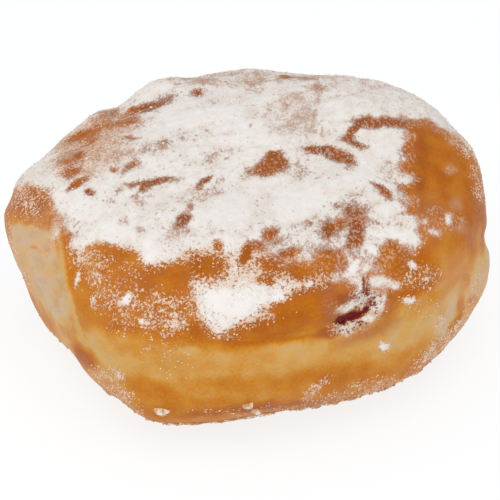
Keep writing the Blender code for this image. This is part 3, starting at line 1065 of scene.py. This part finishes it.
# Materials
CREAM = from_screen(206, 176, 137)
PALE_GOLD = from_screen(214, 166, 92)
GOLD = from_screen(208, 140, 44)
AMBER = from_screen(194, 113, 10)
BROWN = from_screen(170, 91, 16)
DARK_BROWN = from_screen(146, 81, 42)
STAINED = from_screen(174, 102, 64)
DARK_PORES = from_screen(243, 228, 205)
LIGHT_PORES = from_screen(255, 255, 255)
DRY_DUST = from_screen(222, 200, 184)
JAM_FILM = from_screen(134, 62, 50)
CRUMB_BROWN = from_screen(186, 122, 60)
CRUMB_GOLD = from_screen(214, 168, 112)
FLOOR_GREY = from_screen(122, 125, 128)


def new_material(name):
    material = bpy.data.materials.new(name)
    material.use_nodes = True
    return material, Board(material.node_tree)


def fried_colour_and_painted_light(board, mottle, grain, pores):
    """The crust from its pale band to its dark top, with the painted shade and highlight that its
    brownness carries, stained by the jam, and darker in its pores.
    """
    # fried carries the brownness with its painted shade along the bottom edge and in the grooves and
    # pinch, and its painted highlight on the left fold's ridge.
    fried = board.field("fry_and_painted_light")
    uneven = board.plus(
        board.spread(mottle, 0.3, 0.7, -0.10, 0.10), board.spread(grain, 0.3, 0.7, -0.05, 0.05)
    )
    uneven = board.times(uneven, board.spread(fried, 0.02, 0.35, 0.55, 1.0))
    crust = board.ramp(
        board.plus(fried, uneven, True),
        (0.00, CREAM),
        (0.25, PALE_GOLD),
        (0.45, GOLD),
        (0.65, AMBER),
        (0.85, BROWN),
        (1.00, DARK_BROWN),
    )
    crust = board.mix(board.field("stain"), crust, STAINED)
    dotted = board.ramp(pores, (0.38, DARK_PORES), (0.58, LIGHT_PORES))
    return board.mix(board.spread(fried, 0.10, 0.50, 0.15, 1.0), crust, dotted, "MULTIPLY")


def soft_drifts(board, sugar, heaps, grains, specks):
    """Dry sugar: smooth where it lies thick, mottled where it is thin, with bare specks in the thin
    parts and white flecks in the nearly bare ones."""
    calm = board.spread(sugar, 0.60, 1.0, 1.0, 0.20)
    calm = board.times(calm, board.spread(sugar, 0.02, 0.30, 0.6, 1.0))
    speck = board.plus(board.times(heaps, 0.38), board.times(grains, 0.36))
    cover = board.plus(board.times(sugar, 1.15), -0.05)
    powder = board.spread(board.plus(cover, board.times(speck, calm)), 0.32, 0.74)
    partly = board.spread(sugar, 0.70, 0.90, 1.0, 0.0)
    partly = board.times(partly, board.spread(sugar, 0.15, 0.45))
    bare = board.times(board.spread(specks, 0.56, 0.70, 0.0, 0.60), partly)
    powder = board.times(powder, board.minus(1.0, bare))
    flecks = board.spread(grains, -0.24, -0.02, 0.42, 0.0)
    flecks = board.times(flecks, board.spread(sugar, 0.03, 0.14))
    return board.math("MAXIMUM", powder, flecks)


def jam_colour(board, places, opened, settings):
    """Deep red jam with lighter lumps of painted light coming through it, browner under a film of
    dough, and how bare of it each is.
    """
    # The lighter red is painted light coming through the jam.
    wet = board.spread(board.noise(places, 1.4 * MM, 3, 0.6), 0.3, 0.7)
    red = board.mix(wet, tuple(settings.colour), tuple(settings.light_colour))
    red = board.mix(board.spread(opened, 0.64, 0.90), JAM_FILM, red)
    pits = board.rises(places, 0.50 * MM, 3, 0.65)
    return red, board.spread(board.plus(opened, board.times(pits, 0.8)), 0.45, 0.60)


def sugar_colour(board, places, sugar, moist, heaps, settings):
    """White where the sugar lies thick, greyer in a soft mottle of painted shade over the drifts, beige
    where it is thin, and syrupy with painted glints where it is moist.
    """
    dust, crystal = tuple(settings.dust_colour), tuple(settings.crystal_colour)
    # The heaps noise greys the thick sugar towards its shade colour in a soft mottle of painted shade.
    thick = board.spread(board.plus(sugar, board.times(heaps, 0.45)), 0.55, 1.0)
    white = board.mix(thick, tuple(settings.sugar_shade), tuple(settings.sugar_colour))
    white = board.mix(board.spread(sugar, 0.20, 0.62, 0.6, 0.0), white, dust)
    syrupy = board.times(moist, board.spread(sugar, 0.45, 0.85, 1.0, 0.0))
    glint = board.spread(board.noise(places, 0.33 * MM, 1, 0.5), 0.50, 0.66)
    return board.mix(syrupy, white, board.mix(glint, dust, crystal))


def beignet_material(name, settings, jam_settings):
    """What covers crust and jam alike, read from the surface's own fields: fried dough, bare jam, and
    icing sugar that fine noise breaks into drifts and crystals."""
    material, board = new_material(name)
    places = board.places()
    drawn = board.put(
        "ShaderNodeMapping", {"vector_type": "TEXTURE"},
        Vector=places, Rotation=(0, 0, VIEW_AZIMUTH), Scale=(1.0, DRIFT_STRETCH, 1.0),
    )
    drawn = drawn.outputs[0]
    moist, sugar = board.field("moist"), board.field("sugar")
    mottle = board.noise(drawn, 3.0 * MM, 4, 0.55)
    grain = board.noise(drawn, 0.55 * MM, 3, 0.65)
    crust = fried_colour_and_painted_light(board, mottle, grain, board.noise(drawn, 1.5 * MM, 5, 0.62))
    dust = board.times(board.field("veil"), board.spread(grain, 0.34, 0.66, 0.55, 1.35), True)
    crust = board.mix(dust, crust, board.mix(moist, DRY_DUST, tuple(settings.dust_colour)))
    red, bare_jam = jam_colour(board, places, board.field("open"), jam_settings)

    # heaps shapes the drifts' cover and bump, and also their mottle of painted shade.
    heaps = board.rises(drawn, 1.9 * MM, 4, 0.62)
    grains = board.rises(drawn, 0.48 * MM, 2, 0.6)
    lumps = board.rises(places, 0.54 * MM, 3, 0.65)
    powder = soft_drifts(board, sugar, heaps, grains, board.noise(drawn, 0.75 * MM, 2, 0.6))
    crystals = board.plus(board.times(lumps, 0.95), board.times(sugar, 1.3))
    crystals = board.spread(crystals, 0.50, 0.86)
    covered = board.plus(powder, board.times(moist, board.minus(crystals, powder)))
    wet_jam = board.times(board.spread(board.plus(sugar, lumps), 0.55, 0.85, 1.0, 0.0), bare_jam)
    covered = board.times(covered, board.minus(1.0, wet_jam))
    white = sugar_colour(board, places, sugar, moist, heaps, settings)

    dry = board.spread(covered, 0, 1, 0.45, 0.95)
    skin = board.plus(board.times(mottle, 0.5), board.times(grain, 0.3))
    relief = board.plus(board.times(grains, 0.20), board.times(covered, 0.8))
    board.finish(
        Base_Color=board.mix(covered, board.mix(bare_jam, crust, red), white),
        Roughness=board.minus(dry, board.times(wet_jam, 0.18)),
        Specular_IOR_Level=0.13,
        Subsurface_Weight=0.08,
        Subsurface_Radius=(1.0, 0.55, 0.30),
        Subsurface_Scale=1.0 * MM,
        Normal=board.bump(board.plus(skin, relief), 0.6, 0.20 * MM),
    )
    return material


def dry_sugar_material(settings):
    material, board = new_material("icing_sugar")
    places = board.places()
    tone = board.spread(board.noise(places, 0.6 * MM, 3, 0.6), 0.3, 0.7)
    fine = board.noise(places, 0.12 * MM, 2, 0.6)
    board.finish(
        Base_Color=board.mix(tone, tuple(settings.sugar_shade), tuple(settings.sugar_colour)),
        Roughness=board.spread(fine, 0.3, 0.7, 0.80, 0.95),
        Subsurface_Weight=0.15,
        Subsurface_Radius=(1.0, 0.9, 0.8),
        Subsurface_Scale=0.3 * MM,
        Normal=board.bump(fine, 0.4, 0.05 * MM),
    )
    return material


def syrupy_sugar_material(settings):
    material, board = new_material("syrupy_sugar")
    tone = board.spread(board.noise(board.places(), 0.9 * MM, 2, 0.6), 0.40, 0.70)
    board.finish(
        Base_Color=board.mix(tone, tuple(settings.dust_colour), tuple(settings.crystal_colour)),
        Roughness=0.45,
        Specular_IOR_Level=0.4,
        Subsurface_Weight=0.2,
        Subsurface_Radius=(1.0, 0.7, 0.5),
        Subsurface_Scale=0.4 * MM,
    )
    return material


def crumb_material(settings):
    material, board = new_material("crumb_crust")
    tone = board.noise(board.places(), 1.4 * MM, 4, 0.6)
    colour = board.ramp(
        tone,
        (0.30, CRUMB_BROWN),
        (0.48, CRUMB_GOLD),
        (0.60, tuple(settings.sugar_shade)),
        (0.75, tuple(settings.sugar_colour)),
    )
    board.finish(Base_Color=colour, Roughness=0.8, Normal=board.bump(tone, 0.5, 0.15 * MM))
    return material


# The crust's shape
def crust_base():
    """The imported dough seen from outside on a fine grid, its facets smoothed and its mouth closed."""
    places, squares = cube_grid(GRID_CUTS)
    size = np.array(CAD_HIGH - CAD_LOW)
    rays = np.tan(places * math.pi / 4)
    rays = rays / np.linalg.norm(rays, axis=1)[:, None] * size
    rays /= np.linalg.norm(rays, axis=1)[:, None]
    dough = node_mesh("dough")
    tree = BVHTree.FromBMesh(dough)
    dough.free()
    reach = np.empty(len(rays))
    for index, ray in enumerate(rays.tolist()):
        outwards = Vector(ray)
        hit = tree.ray_cast(GRID_MIDDLE + outwards * RAY_START, -outwards)[0]
        reach[index] = (hit - GRID_MIDDLE).length
    count = len(reach)
    edges = grid_edges(squares)
    middle = np.array(GRID_MIDDLE)
    to_ring = (MOUTH.middle[1] - middle[1]) / np.minimum(rays[:, 1], -1e-6)
    open_mouth = MOUTH.reach(middle + rays * to_ring[:, None]) < MOUTH_MARGIN
    for _ in range(MOUTH_PASSES):
        reach[open_mouth] = neighbour_mean(reach, edges, count)[open_mouth]
    for _ in range(SMOOTHING_PASSES):
        reach = blend(reach, neighbour_mean(reach, edges, count), 0.5)
    return middle + rays * reach[:, None], squares


def crust_relief(surface):
    """How far the fine surface stands out from the smooth one."""
    points, normals = surface.points, surface.normals
    height = points[:, 2]
    on_crown = smooth_step(0.55, 0.95, normals[:, 2])
    skin = SKIN_LUMP_HEIGHT * rough_field(points, 4 * MM, 11)
    skin = skin + SKIN_GRAIN_HEIGHT * rough_field(points, 1.7 * MM, 12)
    ridges = stretched(points, DRIFT_TURN, 14 * MM, 3.2 * MM, 8 * MM)
    folds = FOLD_HEIGHT * on_crown * rough_field(ridges, 1, 13, 3)
    near_rim = smooth_step(9 * MM, 2 * MM, height)
    rim = near_rim * (RIM_ROUGHNESS * rough_field(points, 2.4 * MM, 14, 3))
    heaps = 0.8 + 0.50 * rough_field(points, 2.0 * MM, 15, 3)
    powder = POWDER_HEIGHT * smooth_step(0.45, 1.0, surface.sugar()) * heaps
    pucker = 1 + 0.35 * rough_field(points, 2.0 * MM, 16)
    funnel = FUNNEL_DEPTH * pucker * (1 - np.clip(MOUTH.gap(points) / FUNNEL_WIDTH, 0, 1)) ** 2
    creases = sum(crease.depth * share for crease, share in surface.creases())
    large = surface.swelling() - creases - np.where(MOUTH.reach(points) < FAR_AWAY, funnel, 0)
    return skin + folds + rim + powder + large


@lru_cache
def crust_surface():
    """The whole skin with its relief, still closed over the mouth: its points and its triangles."""
    points, squares = crust_base()
    triangles = np.concatenate((squares[:, (0, 1, 2)], squares[:, (0, 2, 3)]))
    data = new_mesh("skin", points, triangles)
    points, normals = mesh_arrays(data)
    bpy.data.meshes.remove(data)
    points = points + normals * crust_relief(Paint(points, normals))[:, None]
    points[:, 2] = np.maximum(points[:, 2], 0)
    return points, triangles


@lru_cache
def skin_tree():
    """The closed skin, ready for straight lines to meet it."""
    points, triangles = crust_surface()
    return BVHTree.FromPolygons(points.tolist(), triangles.tolist())


def skin_depths(points):
    """Where a line along Y through each point enters the closed skin from the front."""
    tree = skin_tree()
    ahead = Vector((0, 1, 0))
    hits = [tree.ray_cast(Vector((x, -RAY_START, z)), ahead)[0] for x, _, z in points.tolist()]
    return np.array([math.inf if hit is None else hit.y for hit in hits])


def skin_place(across, down):
    """Where the skin is seen at a place of the photograph."""
    back, right, up = view_axes()
    ray = right * (across - PHOTO_SIDE / 2) - up * (down - PHOTO_SIDE / 2) - back * FOCAL_PIXELS
    return skin_tree().ray_cast(camera_place(), ray.normalized())[0]


def jam_cutter():
    """The jam grown by its clearance, with its front drawn out past the mouth."""
    mesh = node_mesh("raspberry_jam")
    mesh.normal_update()
    moved = [(vertex, vertex.co + vertex.normal * JAM_CLEARANCE) for vertex in mesh.verts]
    front = min(vertex.co.y for vertex in mesh.verts) + MOUTH_RING_DEPTH
    for vertex, place in moved:
        in_front = vertex.co.y < front
        vertex.co = place
        if in_front:
            vertex.co.y -= CUTTER_REACH
    return object_from("jam_cutter", mesh)


def hollow_crust():
    """The skin as one object, with the hollow that holds the jam cut out of it."""
    crust = new_object("dough_crust", new_mesh("dough_crust", *crust_surface()))
    cutter = jam_cutter()
    cut = crust.modifiers.new("hollow", "BOOLEAN")
    cut.operation = "DIFFERENCE"
    cut.solver = "MANIFOLD"
    cut.object = cutter
    whole = applied(crust, "dough_crust")
    bpy.data.objects.remove(cutter)
    return whole


def paint(data):
    """Writes what the materials read onto the surface, and gives it back."""
    points, normals = mesh_arrays(data)
    surface = Paint(points, normals)
    fields = {
        "fry_and_painted_light": surface.brownness(),
        "sugar": surface.sugar(),
        "veil": surface.veil(),
        "stain": surface.stain(),
        "moist": surface.moist(),
        "open": surface.open_jam(),
    }
    for name, values in fields.items():
        set_attribute(data, name, values)
    return points, normals, fields


@lru_cache
def skin_mesh():
    """The closed skin as a painted mesh, on which grains and crumbs are strewn."""
    data = new_mesh("strewn_skin", *crust_surface())
    return data, *paint(data)


# Scattered grains, clumps and crumbs
def face_areas(data):
    areas = np.empty(len(data.polygons), np.float32)
    data.polygons.foreach_get("area", areas)
    return areas


def scatter_tree(name, scatter, round_form):
    """A tree that strews small lumps over a surface, thicker where its field scatter says."""
    tree = bpy.data.node_groups.new(name, "GeometryNodeTree")
    sockets = {}
    tree.interface.new_socket("Surface", in_out="INPUT", socket_type="NodeSocketGeometry")
    for label, kind, value in (
        ("Density", "NodeSocketFloat", 0.0),
        ("Smallest", "NodeSocketFloat", scatter.smallest),
        ("Largest", "NodeSocketFloat", scatter.largest),
        ("Rough Size", "NodeSocketFloat", scatter.rough_size),
        ("Rough Height", "NodeSocketFloat", scatter.rough_height),
        ("Seed", "NodeSocketInt", scatter.seed),
        ("Material", "NodeSocketMaterial", None),
    ):
        socket = tree.interface.new_socket(label, in_out="INPUT", socket_type=kind)
        if value is not None:
            socket.default_value = value
        sockets[label] = socket.identifier
    tree.interface.new_socket("Lumps", in_out="OUTPUT", socket_type="NodeSocketGeometry")
    board = Board(tree)
    given = board.put("NodeGroupInput").outputs
    field = board.put("GeometryNodeInputNamedAttribute", {"data_type": "FLOAT"}, Name="scatter")
    spread = board.put(
        "GeometryNodeDistributePointsOnFaces",
        Mesh=given["Surface"],
        Density=board.times(field.outputs["Attribute"], given["Density"]),
        Seed=given["Seed"],
    )
    if round_form:
        lump = board.put("GeometryNodeMeshIcoSphere", Subdivisions=scatter.sides, Radius=0.5)
    else:
        lump = board.put("GeometryNodeMeshUVSphere", Segments=scatter.sides, Rings=2, Radius=0.5)
    turn = board.put(
        "FunctionNodeRandomValue", {"data_type": "FLOAT_VECTOR"},
        Min=(0, 0, 0), Max=(math.tau, math.tau, math.tau), Seed=given["Seed"],
    )
    size = board.put("FunctionNodeRandomValue", {"data_type": "FLOAT"})
    limits = {socket.identifier: socket for socket in size.inputs}
    board.feed(limits["Min_001"], given["Smallest"])
    board.feed(limits["Max_001"], given["Largest"])
    form = board.put(
        "FunctionNodeRandomValue", {"data_type": "FLOAT_VECTOR"}, Min=NARROWEST, Max=WIDEST
    )
    scale = board.put("ShaderNodeVectorMath", {"operation": "SCALE"}, Scale=size.outputs[1])
    board.feed(scale.inputs[0], form.outputs[0])
    place = board.put(
        "GeometryNodeInstanceOnPoints",
        Points=spread.outputs["Points"],
        Instance=lump.outputs["Mesh"],
        Rotation=turn.outputs[0],
        Scale=scale.outputs[0],
    )
    real = board.put("GeometryNodeRealizeInstances", Geometry=place.outputs["Instances"])
    rough = board.put(
        "ShaderNodeTexNoise",
        Vector=board.put("GeometryNodeInputPosition").outputs[0],
        Scale=board.math("DIVIDE", 1.0, given["Rough Size"]),
    )
    middle = board.put("ShaderNodeVectorMath", {"operation": "SUBTRACT"})
    board.feed(middle.inputs[0], rough.outputs["Color"])
    board.feed(middle.inputs[1], (0.5, 0.5, 0.5))
    push = board.put("ShaderNodeVectorMath", {"operation": "SCALE"}, Scale=given["Rough Height"])
    board.feed(push.inputs[0], middle.outputs[0])
    shift = board.put(
        "GeometryNodeSetPosition", Geometry=real.outputs["Geometry"], Offset=push.outputs[0]
    )
    dressed = board.put(
        "GeometryNodeSetMaterial", Geometry=shift.outputs["Geometry"], Material=given["Material"]
    )
    board.put("NodeGroupOutput", Lumps=dressed.outputs["Geometry"])
    return tree, sockets


def strew(name, data, field, scatter, material, round_form=True):
    """Strews lumps over the surface and makes them one plain piece that rides on the root."""
    surface = data.copy()
    set_attribute(surface, "scatter", field)
    loops = np.empty(len(surface.loops), np.int32)
    surface.loops.foreach_get("vertex_index", loops)
    starts = np.empty(len(surface.polygons), np.int32)
    surface.polygons.foreach_get("loop_start", starts)
    on_face = np.add.reduceat(field[loops], starts) / np.diff(np.append(starts, len(loops)))
    density = scatter.count / float((on_face * face_areas(surface)).sum())
    tree, sockets = scatter_tree(name, scatter, round_form)
    carrier = new_object(name + "_carrier", surface)
    modifier = carrier.modifiers.new("strew", "NODES")
    modifier.node_group = tree
    modifier[sockets["Density"]] = density
    modifier[sockets["Material"]] = material
    piece = applied(carrier, name)
    set_material(piece.data, material)
    for attribute in [a.name for a in piece.data.attributes if not a.is_required]:
        piece.data.attributes.remove(piece.data.attributes[attribute])
    keep_above_floor(piece.data)
    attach(piece, "root")
    return piece


def keep_above_floor(data):
    points, _ = mesh_arrays(data)
    points[:, 2] = np.maximum(points[:, 2], 0)
    set_points(data, points)


def add_lumps(material):
    """The few lumps of sugared dough that stick to the rim, as one piece."""
    mesh = bmesh.new()
    for lump in RIM_LUMPS:
        place = skin_place(lump.across, lump.down)
        size = Vector((lump.width, lump.width, lump.height)) * 0.5 * MM
        fresh = bmesh.ops.create_icosphere(mesh, subdivisions=4, radius=1.0)["verts"]
        for vertex in fresh:
            at = vertex.co * LUMP_UNEVENNESS + place * NOISE_SHIFT
            rough = 1 + LUMP_ROUGHNESS * noise.noise(at)
            vertex.co = place + Vector([s * v for s, v in zip(size, vertex.co)]) * rough
            vertex.co.z = max(vertex.co.z, 0)
    data = bpy.data.meshes.new("rim_lumps")
    mesh.to_mesh(data)
    mesh.free()
    data.materials.append(material)
    data.shade_smooth()
    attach(new_object("rim_lumps", data), "root")


# The jam's face
def face_lens():
    """The jam's face: a closed lens, level with the skin and reaching under the edge of its hole."""
    shares = np.append(0, np.repeat(np.arange(1, FACE_RINGS + 1) / FACE_RINGS, FACE_SIDES))
    turns = np.append(0, np.tile(np.arange(FACE_SIDES) * math.tau / FACE_SIDES, FACE_RINGS))
    along = shares * FACE_REACH * MOUTH.half_length * np.cos(turns)
    across = shares * FACE_REACH * MOUTH.half_breadth * np.sin(turns)
    points = np.zeros((len(shares), 3))
    points[:, 0] = MOUTH.middle[0] + along * MOUTH.along[0] - across * MOUTH.along[1]
    points[:, 2] = MOUTH.middle[2] + along * MOUTH.along[1] + across * MOUTH.along[0]
    points[:, 1] = skin_depths(points)
    pixels = in_photograph(points)
    slit = sum(spot.amount * spot_field(*pixels, spot, 0.6) for spot in OPEN_JAM)
    reach = shares * FACE_REACH
    level = FACE_STEP * smooth_step(0.90, 1.04, reach)
    level = level + SLIT_DEPTH * smooth_step(0.5, 1.0, slit) * smooth_step(1.0, 0.86, reach)
    rough = FACE_ROUGHNESS * rough_field(points, FACE_LUMP, 21, 2)
    level = level - rough * smooth_step(1.0, 0.8, reach)
    front = points + level[:, None] * [0, 1, 0]
    back = front + (FACE_THICKNESS * (1 - shares ** 4))[:, None] * [0, 1, 0]
    first = 1 + np.arange(FACE_SIDES)
    fan = [(0, int(b), int(a)) for a, b in zip(first, np.roll(first, -1))]
    bands = []
    for ring in range(FACE_RINGS - 1):
        inner = first + ring * FACE_SIDES
        outer = inner + FACE_SIDES
        corners = np.column_stack((inner, np.roll(inner, -1), np.roll(outer, -1), outer))
        bands.extend(tuple(corner) for corner in corners.tolist())
    sheet = fan + bands
    behind = [tuple(index + len(front) for index in reversed(face)) for face in sheet]
    data = bpy.data.meshes.new("jam_face")
    data.from_pydata(np.vstack((front, back)).tolist(), [], sheet + behind)
    mesh = bmesh.new()
    mesh.from_mesh(data)
    bpy.data.meshes.remove(data)
    bmesh.ops.remove_doubles(mesh, verts=mesh.verts[:], dist=1e-7)
    bmesh.ops.recalc_face_normals(mesh, faces=mesh.faces[:])
    return mesh


def behind_face(points):
    """Keeps the jam's body behind its face."""
    limit = skin_depths(points) + FACE_BACKING
    in_mouth = MOUTH.reach(points) < FACE_REACH + FACE_MARGIN
    points[:, 1] = np.where(in_mouth & (points[:, 1] < limit) & (limit < 0), limit, points[:, 1])
    return points


# Property groups
class CrustSettings(bpy.types.PropertyGroup):
    sugar_colour: bpy.props.FloatVectorProperty(
        name="Sugar", description="Icing sugar where it lies thick", subtype="COLOR", size=4,
        min=0, max=1, default=from_screen(241, 237, 233),
    )
    # The greyer sugar: where it is thinner, in the random tone of grains and crumbs, and as painted
    # shade mottled over the thick drifts.
    sugar_shade: bpy.props.FloatVectorProperty(
        name="Sugar shade", description="Icing sugar where it is thinner", subtype="COLOR", size=4,
        min=0, max=1, default=from_screen(232, 223, 215),
    )
    dust_colour: bpy.props.FloatVectorProperty(
        name="Dust", description="Thin dust that lets the crust through", subtype="COLOR", size=4,
        min=0, max=1, default=from_screen(226, 184, 152),
    )
    crystal_colour: bpy.props.FloatVectorProperty(
        name="Crystals", description="Sugar crystals that catch the light", subtype="COLOR", size=4,
        min=0, max=1, default=from_screen(250, 220, 194),
    )


class JamSettings(bpy.types.PropertyGroup):
    colour: bpy.props.FloatVectorProperty(
        name="Jam", description="The jam where it is deep", subtype="COLOR", size=4,
        min=0, max=1, default=from_screen(80, 8, 12),
    )
    light_colour: bpy.props.FloatVectorProperty(
        name="Light jam", description="The jam where light comes through", subtype="COLOR", size=4,
        min=0, max=1, default=from_screen(116, 20, 24),
    )


class StageSettings(bpy.types.PropertyGroup):
    floor_side: bpy.props.FloatProperty(
        name="Floor", description="Side of the square floor", subtype="DISTANCE",
        default=4.0, min=0.5,
    )
    key_power: bpy.props.FloatProperty(
        name="Key light", description="Power of the main soft light", subtype="POWER",
        default=4.0, min=0,
    )
    fill_power: bpy.props.FloatProperty(
        name="Fill light", description="Power of the soft light at the left", subtype="POWER",
        default=1.2, min=0,
    )
    sky: bpy.props.FloatProperty(
        name="Sky", description="Strength of the even light from all round", default=0.55, min=0,
    )


class BEIGNET_OT_crust(bpy.types.Operator):
    """Make the fried crust, painted and dusted, round the hollow that holds the jam"""

    bl_idname = "beignet.crust"
    bl_label = "Make Crust"

    def execute(self, context):
        scene = context.scene
        crust = hollow_crust()
        material = beignet_material("golden_crust", scene.beignet_crust, scene.beignet_jam)
        set_material(crust.data, material)
        crust.data.shade_smooth()
        crust.data.set_sharp_from_angle(angle=HOLE_EDGE_ANGLE)
        paint(crust.data)
        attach(crust, "root")
        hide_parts("dough")
        return {"FINISHED"}


class BEIGNET_OT_jam(bpy.types.Operator):
    """Make the jam, from its wet lumpy mouth to the end of its pool"""

    bl_idname = "beignet.jam"
    bl_label = "Make Jam"

    def execute(self, context):
        scene = context.scene
        jam = object_from("jam_source", node_mesh("raspberry_jam"))
        remesh = jam.modifiers.new("even", "REMESH")
        remesh.mode = "VOXEL"
        remesh.voxel_size = JAM_VOXEL
        jam = applied(jam, "raspberry_jam_filling")
        points, _ = mesh_arrays(jam.data)
        set_points(jam.data, behind_face(points))
        mesh = face_lens()
        mesh.from_mesh(jam.data)
        mesh.to_mesh(jam.data)
        mesh.free()
        material = beignet_material("raspberry_jam", scene.beignet_crust, scene.beignet_jam)
        set_material(jam.data, material)
        jam.data.shade_smooth()
        points, _, fields = paint(jam.data)
        buried = points[:, 1] > skin_depths(points) + 2 * SLIT_DEPTH
        set_attribute(jam.data, "open", np.where(buried, 1.0, fields["open"]))
        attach(jam, "root")
        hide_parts("raspberry_jam")
        return {"FINISHED"}


class BEIGNET_OT_sugar(bpy.types.Operator):
    """Strew the icing sugar's loose grains and clumps, thickest where the dusting thins out"""

    bl_idname = "beignet.sugar"
    bl_label = "Strew Sugar"

    def execute(self, context):
        powder = dry_sugar_material(context.scene.beignet_crust)
        syrup = syrupy_sugar_material(context.scene.beignet_crust)
        data, points, _, fields = skin_mesh()
        sugar, moist = fields["sugar"], fields["moist"]
        outer = smooth_step(0.7, 0.3, fields["open"])
        edge = smooth_step(0.30, 0.65, sugar) * (1.15 - np.clip(sugar, 0, 1)) * outer
        lumpy = np.clip(0.55 + 0.9 * rough_field(points, 3 * MM, 31, 2), 0, 2)
        cling = moist * smooth_step(0.06, 0.40, sugar) * smooth_step(0.95, 0.55, sugar) * lumpy * outer
        heap = smooth_step(0.45, 0.8, sugar) * lumpy * outer
        strew("icing_sugar_fine_grains", data, edge, FINE_GRAINS, powder, False)
        strew("icing_sugar_crystals", data, cling, CRYSTALS, syrup)
        strew("icing_sugar_clumps", data, heap, CLUMPS, powder)
        return {"FINISHED"}


class BEIGNET_OT_crumbs(bpy.types.Operator):
    """Strew the crumbs of crust and sugar along the rim that stood in the sugar"""

    bl_idname = "beignet.crumbs"
    bl_label = "Strew Crumbs"

    def execute(self, context):
        material = crumb_material(context.scene.beignet_crust)
        data, points, normals, fields = skin_mesh()
        near_rim = smooth_step(8 * MM, 3 * MM, points[:, 2]) * smooth_step(-0.75, -0.35, normals[:, 2])
        lumpy = np.clip(0.5 + 1.1 * rough_field(points, 6 * MM, 32, 2), 0, 2)
        strew("rim_crumbs", data, near_rim * lumpy * (0.3 + fields["sugar"]), CRUMBS, material)
        add_lumps(material)
        return {"FINISHED"}


class BEIGNET_OT_stage(bpy.types.Operator):
    """Lay the pale floor and set the soft lights and the camera"""

    bl_idname = "beignet.stage"
    bl_label = "Set Stage"

    def execute(self, context):
        settings = context.scene.beignet_stage
        half = settings.floor_side / 2
        data = bpy.data.meshes.new("floor")
        corners = [(-half, -half, 0), (half, -half, 0), (half, half, 0), (-half, half, 0)]
        data.from_pydata(corners, [], [(0, 1, 2, 3)])
        material, board = new_material("pale_floor")
        board.finish(
            Base_Color=FLOOR_GREY,
            Roughness=0.95,
            Specular_IOR_Level=0.0,
            Emission_Color=(1, 1, 1, 1),
            Emission_Strength=FLOOR_GLOW,
        )
        data.materials.append(material)
        new_object("floor", data)

        world = bpy.data.worlds.new("studio")
        world.use_nodes = True
        background = world.node_tree.nodes["Background"]
        background.inputs["Color"].default_value = (1.0, 1.0, 1.0, 1)
        background.inputs["Strength"].default_value = settings.sky
        context.scene.world = world
        self.light("key", KEY_LIGHT, settings.key_power)
        self.light("fill", FILL_LIGHT, settings.fill_power)

        camera = bpy.data.cameras.new("camera")
        camera.sensor_width = SENSOR_WIDTH
        camera.lens = FOCAL_PIXELS / PHOTO_SIDE * SENSOR_WIDTH
        camera.clip_start = 0.01
        camera.clip_end = 20
        back = view_axes()[0]
        context.scene.camera = self.aimed("camera", camera, camera_place(), back)
        context.scene.view_settings.view_transform = "Standard"
        context.scene.view_settings.look = "None"
        return {"FINISHED"}

    def aimed(self, name, data, place, back):
        """A camera or a lamp at its place, with its back turned to the given direction."""
        holder = new_object(name, data)
        holder.location = place
        holder.rotation_mode = "QUATERNION"
        holder.rotation_quaternion = (-back).to_track_quat("-Z", "Y")
        return holder

    def light(self, name, light, power):
        lamp = bpy.data.lights.new(name, "AREA")
        lamp.size = light.side
        lamp.energy = power
        lamp.color = light.colour
        back = direction(math.radians(light.azimuth), math.radians(light.elevation))
        self.aimed(name, lamp, VIEW_TARGET + back * light.distance, back)


class BEIGNET_PT_panel(bpy.types.Panel):
    """Lists the pieces and their settings"""

    bl_idname = "BEIGNET_PT_panel"
    bl_label = "Filled Beignet"
    bl_space_type = "VIEW_3D"
    bl_region_type = "UI"
    bl_category = "Beignet"

    def draw(self, context):
        for settings, operators in (
            (context.scene.beignet_crust, ("beignet.crust", "beignet.sugar", "beignet.crumbs")),
            (context.scene.beignet_jam, ("beignet.jam",)),
            (context.scene.beignet_stage, ("beignet.stage",)),
        ):
            box = self.layout.box()
            for name in settings.__annotations__:
                box.prop(settings, name)
            for operator in operators:
                box.operator(operator)


CLASSES = (
    CrustSettings,
    JamSettings,
    StageSettings,
    BEIGNET_OT_crust,
    BEIGNET_OT_jam,
    BEIGNET_OT_sugar,
    BEIGNET_OT_crumbs,
    BEIGNET_OT_stage,
    BEIGNET_PT_panel,
)


def register():
    for kind in CLASSES:
        bpy.utils.register_class(kind)
    bpy.types.Scene.beignet_crust = bpy.props.PointerProperty(type=CrustSettings)
    bpy.types.Scene.beignet_jam = bpy.props.PointerProperty(type=JamSettings)
    bpy.types.Scene.beignet_stage = bpy.props.PointerProperty(type=StageSettings)


def unregister():
    del bpy.types.Scene.beignet_stage
    del bpy.types.Scene.beignet_jam
    del bpy.types.Scene.beignet_crust
    for kind in reversed(CLASSES):
        bpy.utils.unregister_class(kind)


def main():
    register()
    bpy.ops.beignet.stage()
    bpy.ops.beignet.crust()
    bpy.ops.beignet.jam()
    bpy.ops.beignet.sugar()
    bpy.ops.beignet.crumbs()


if __name__ == "__main__":
    main()
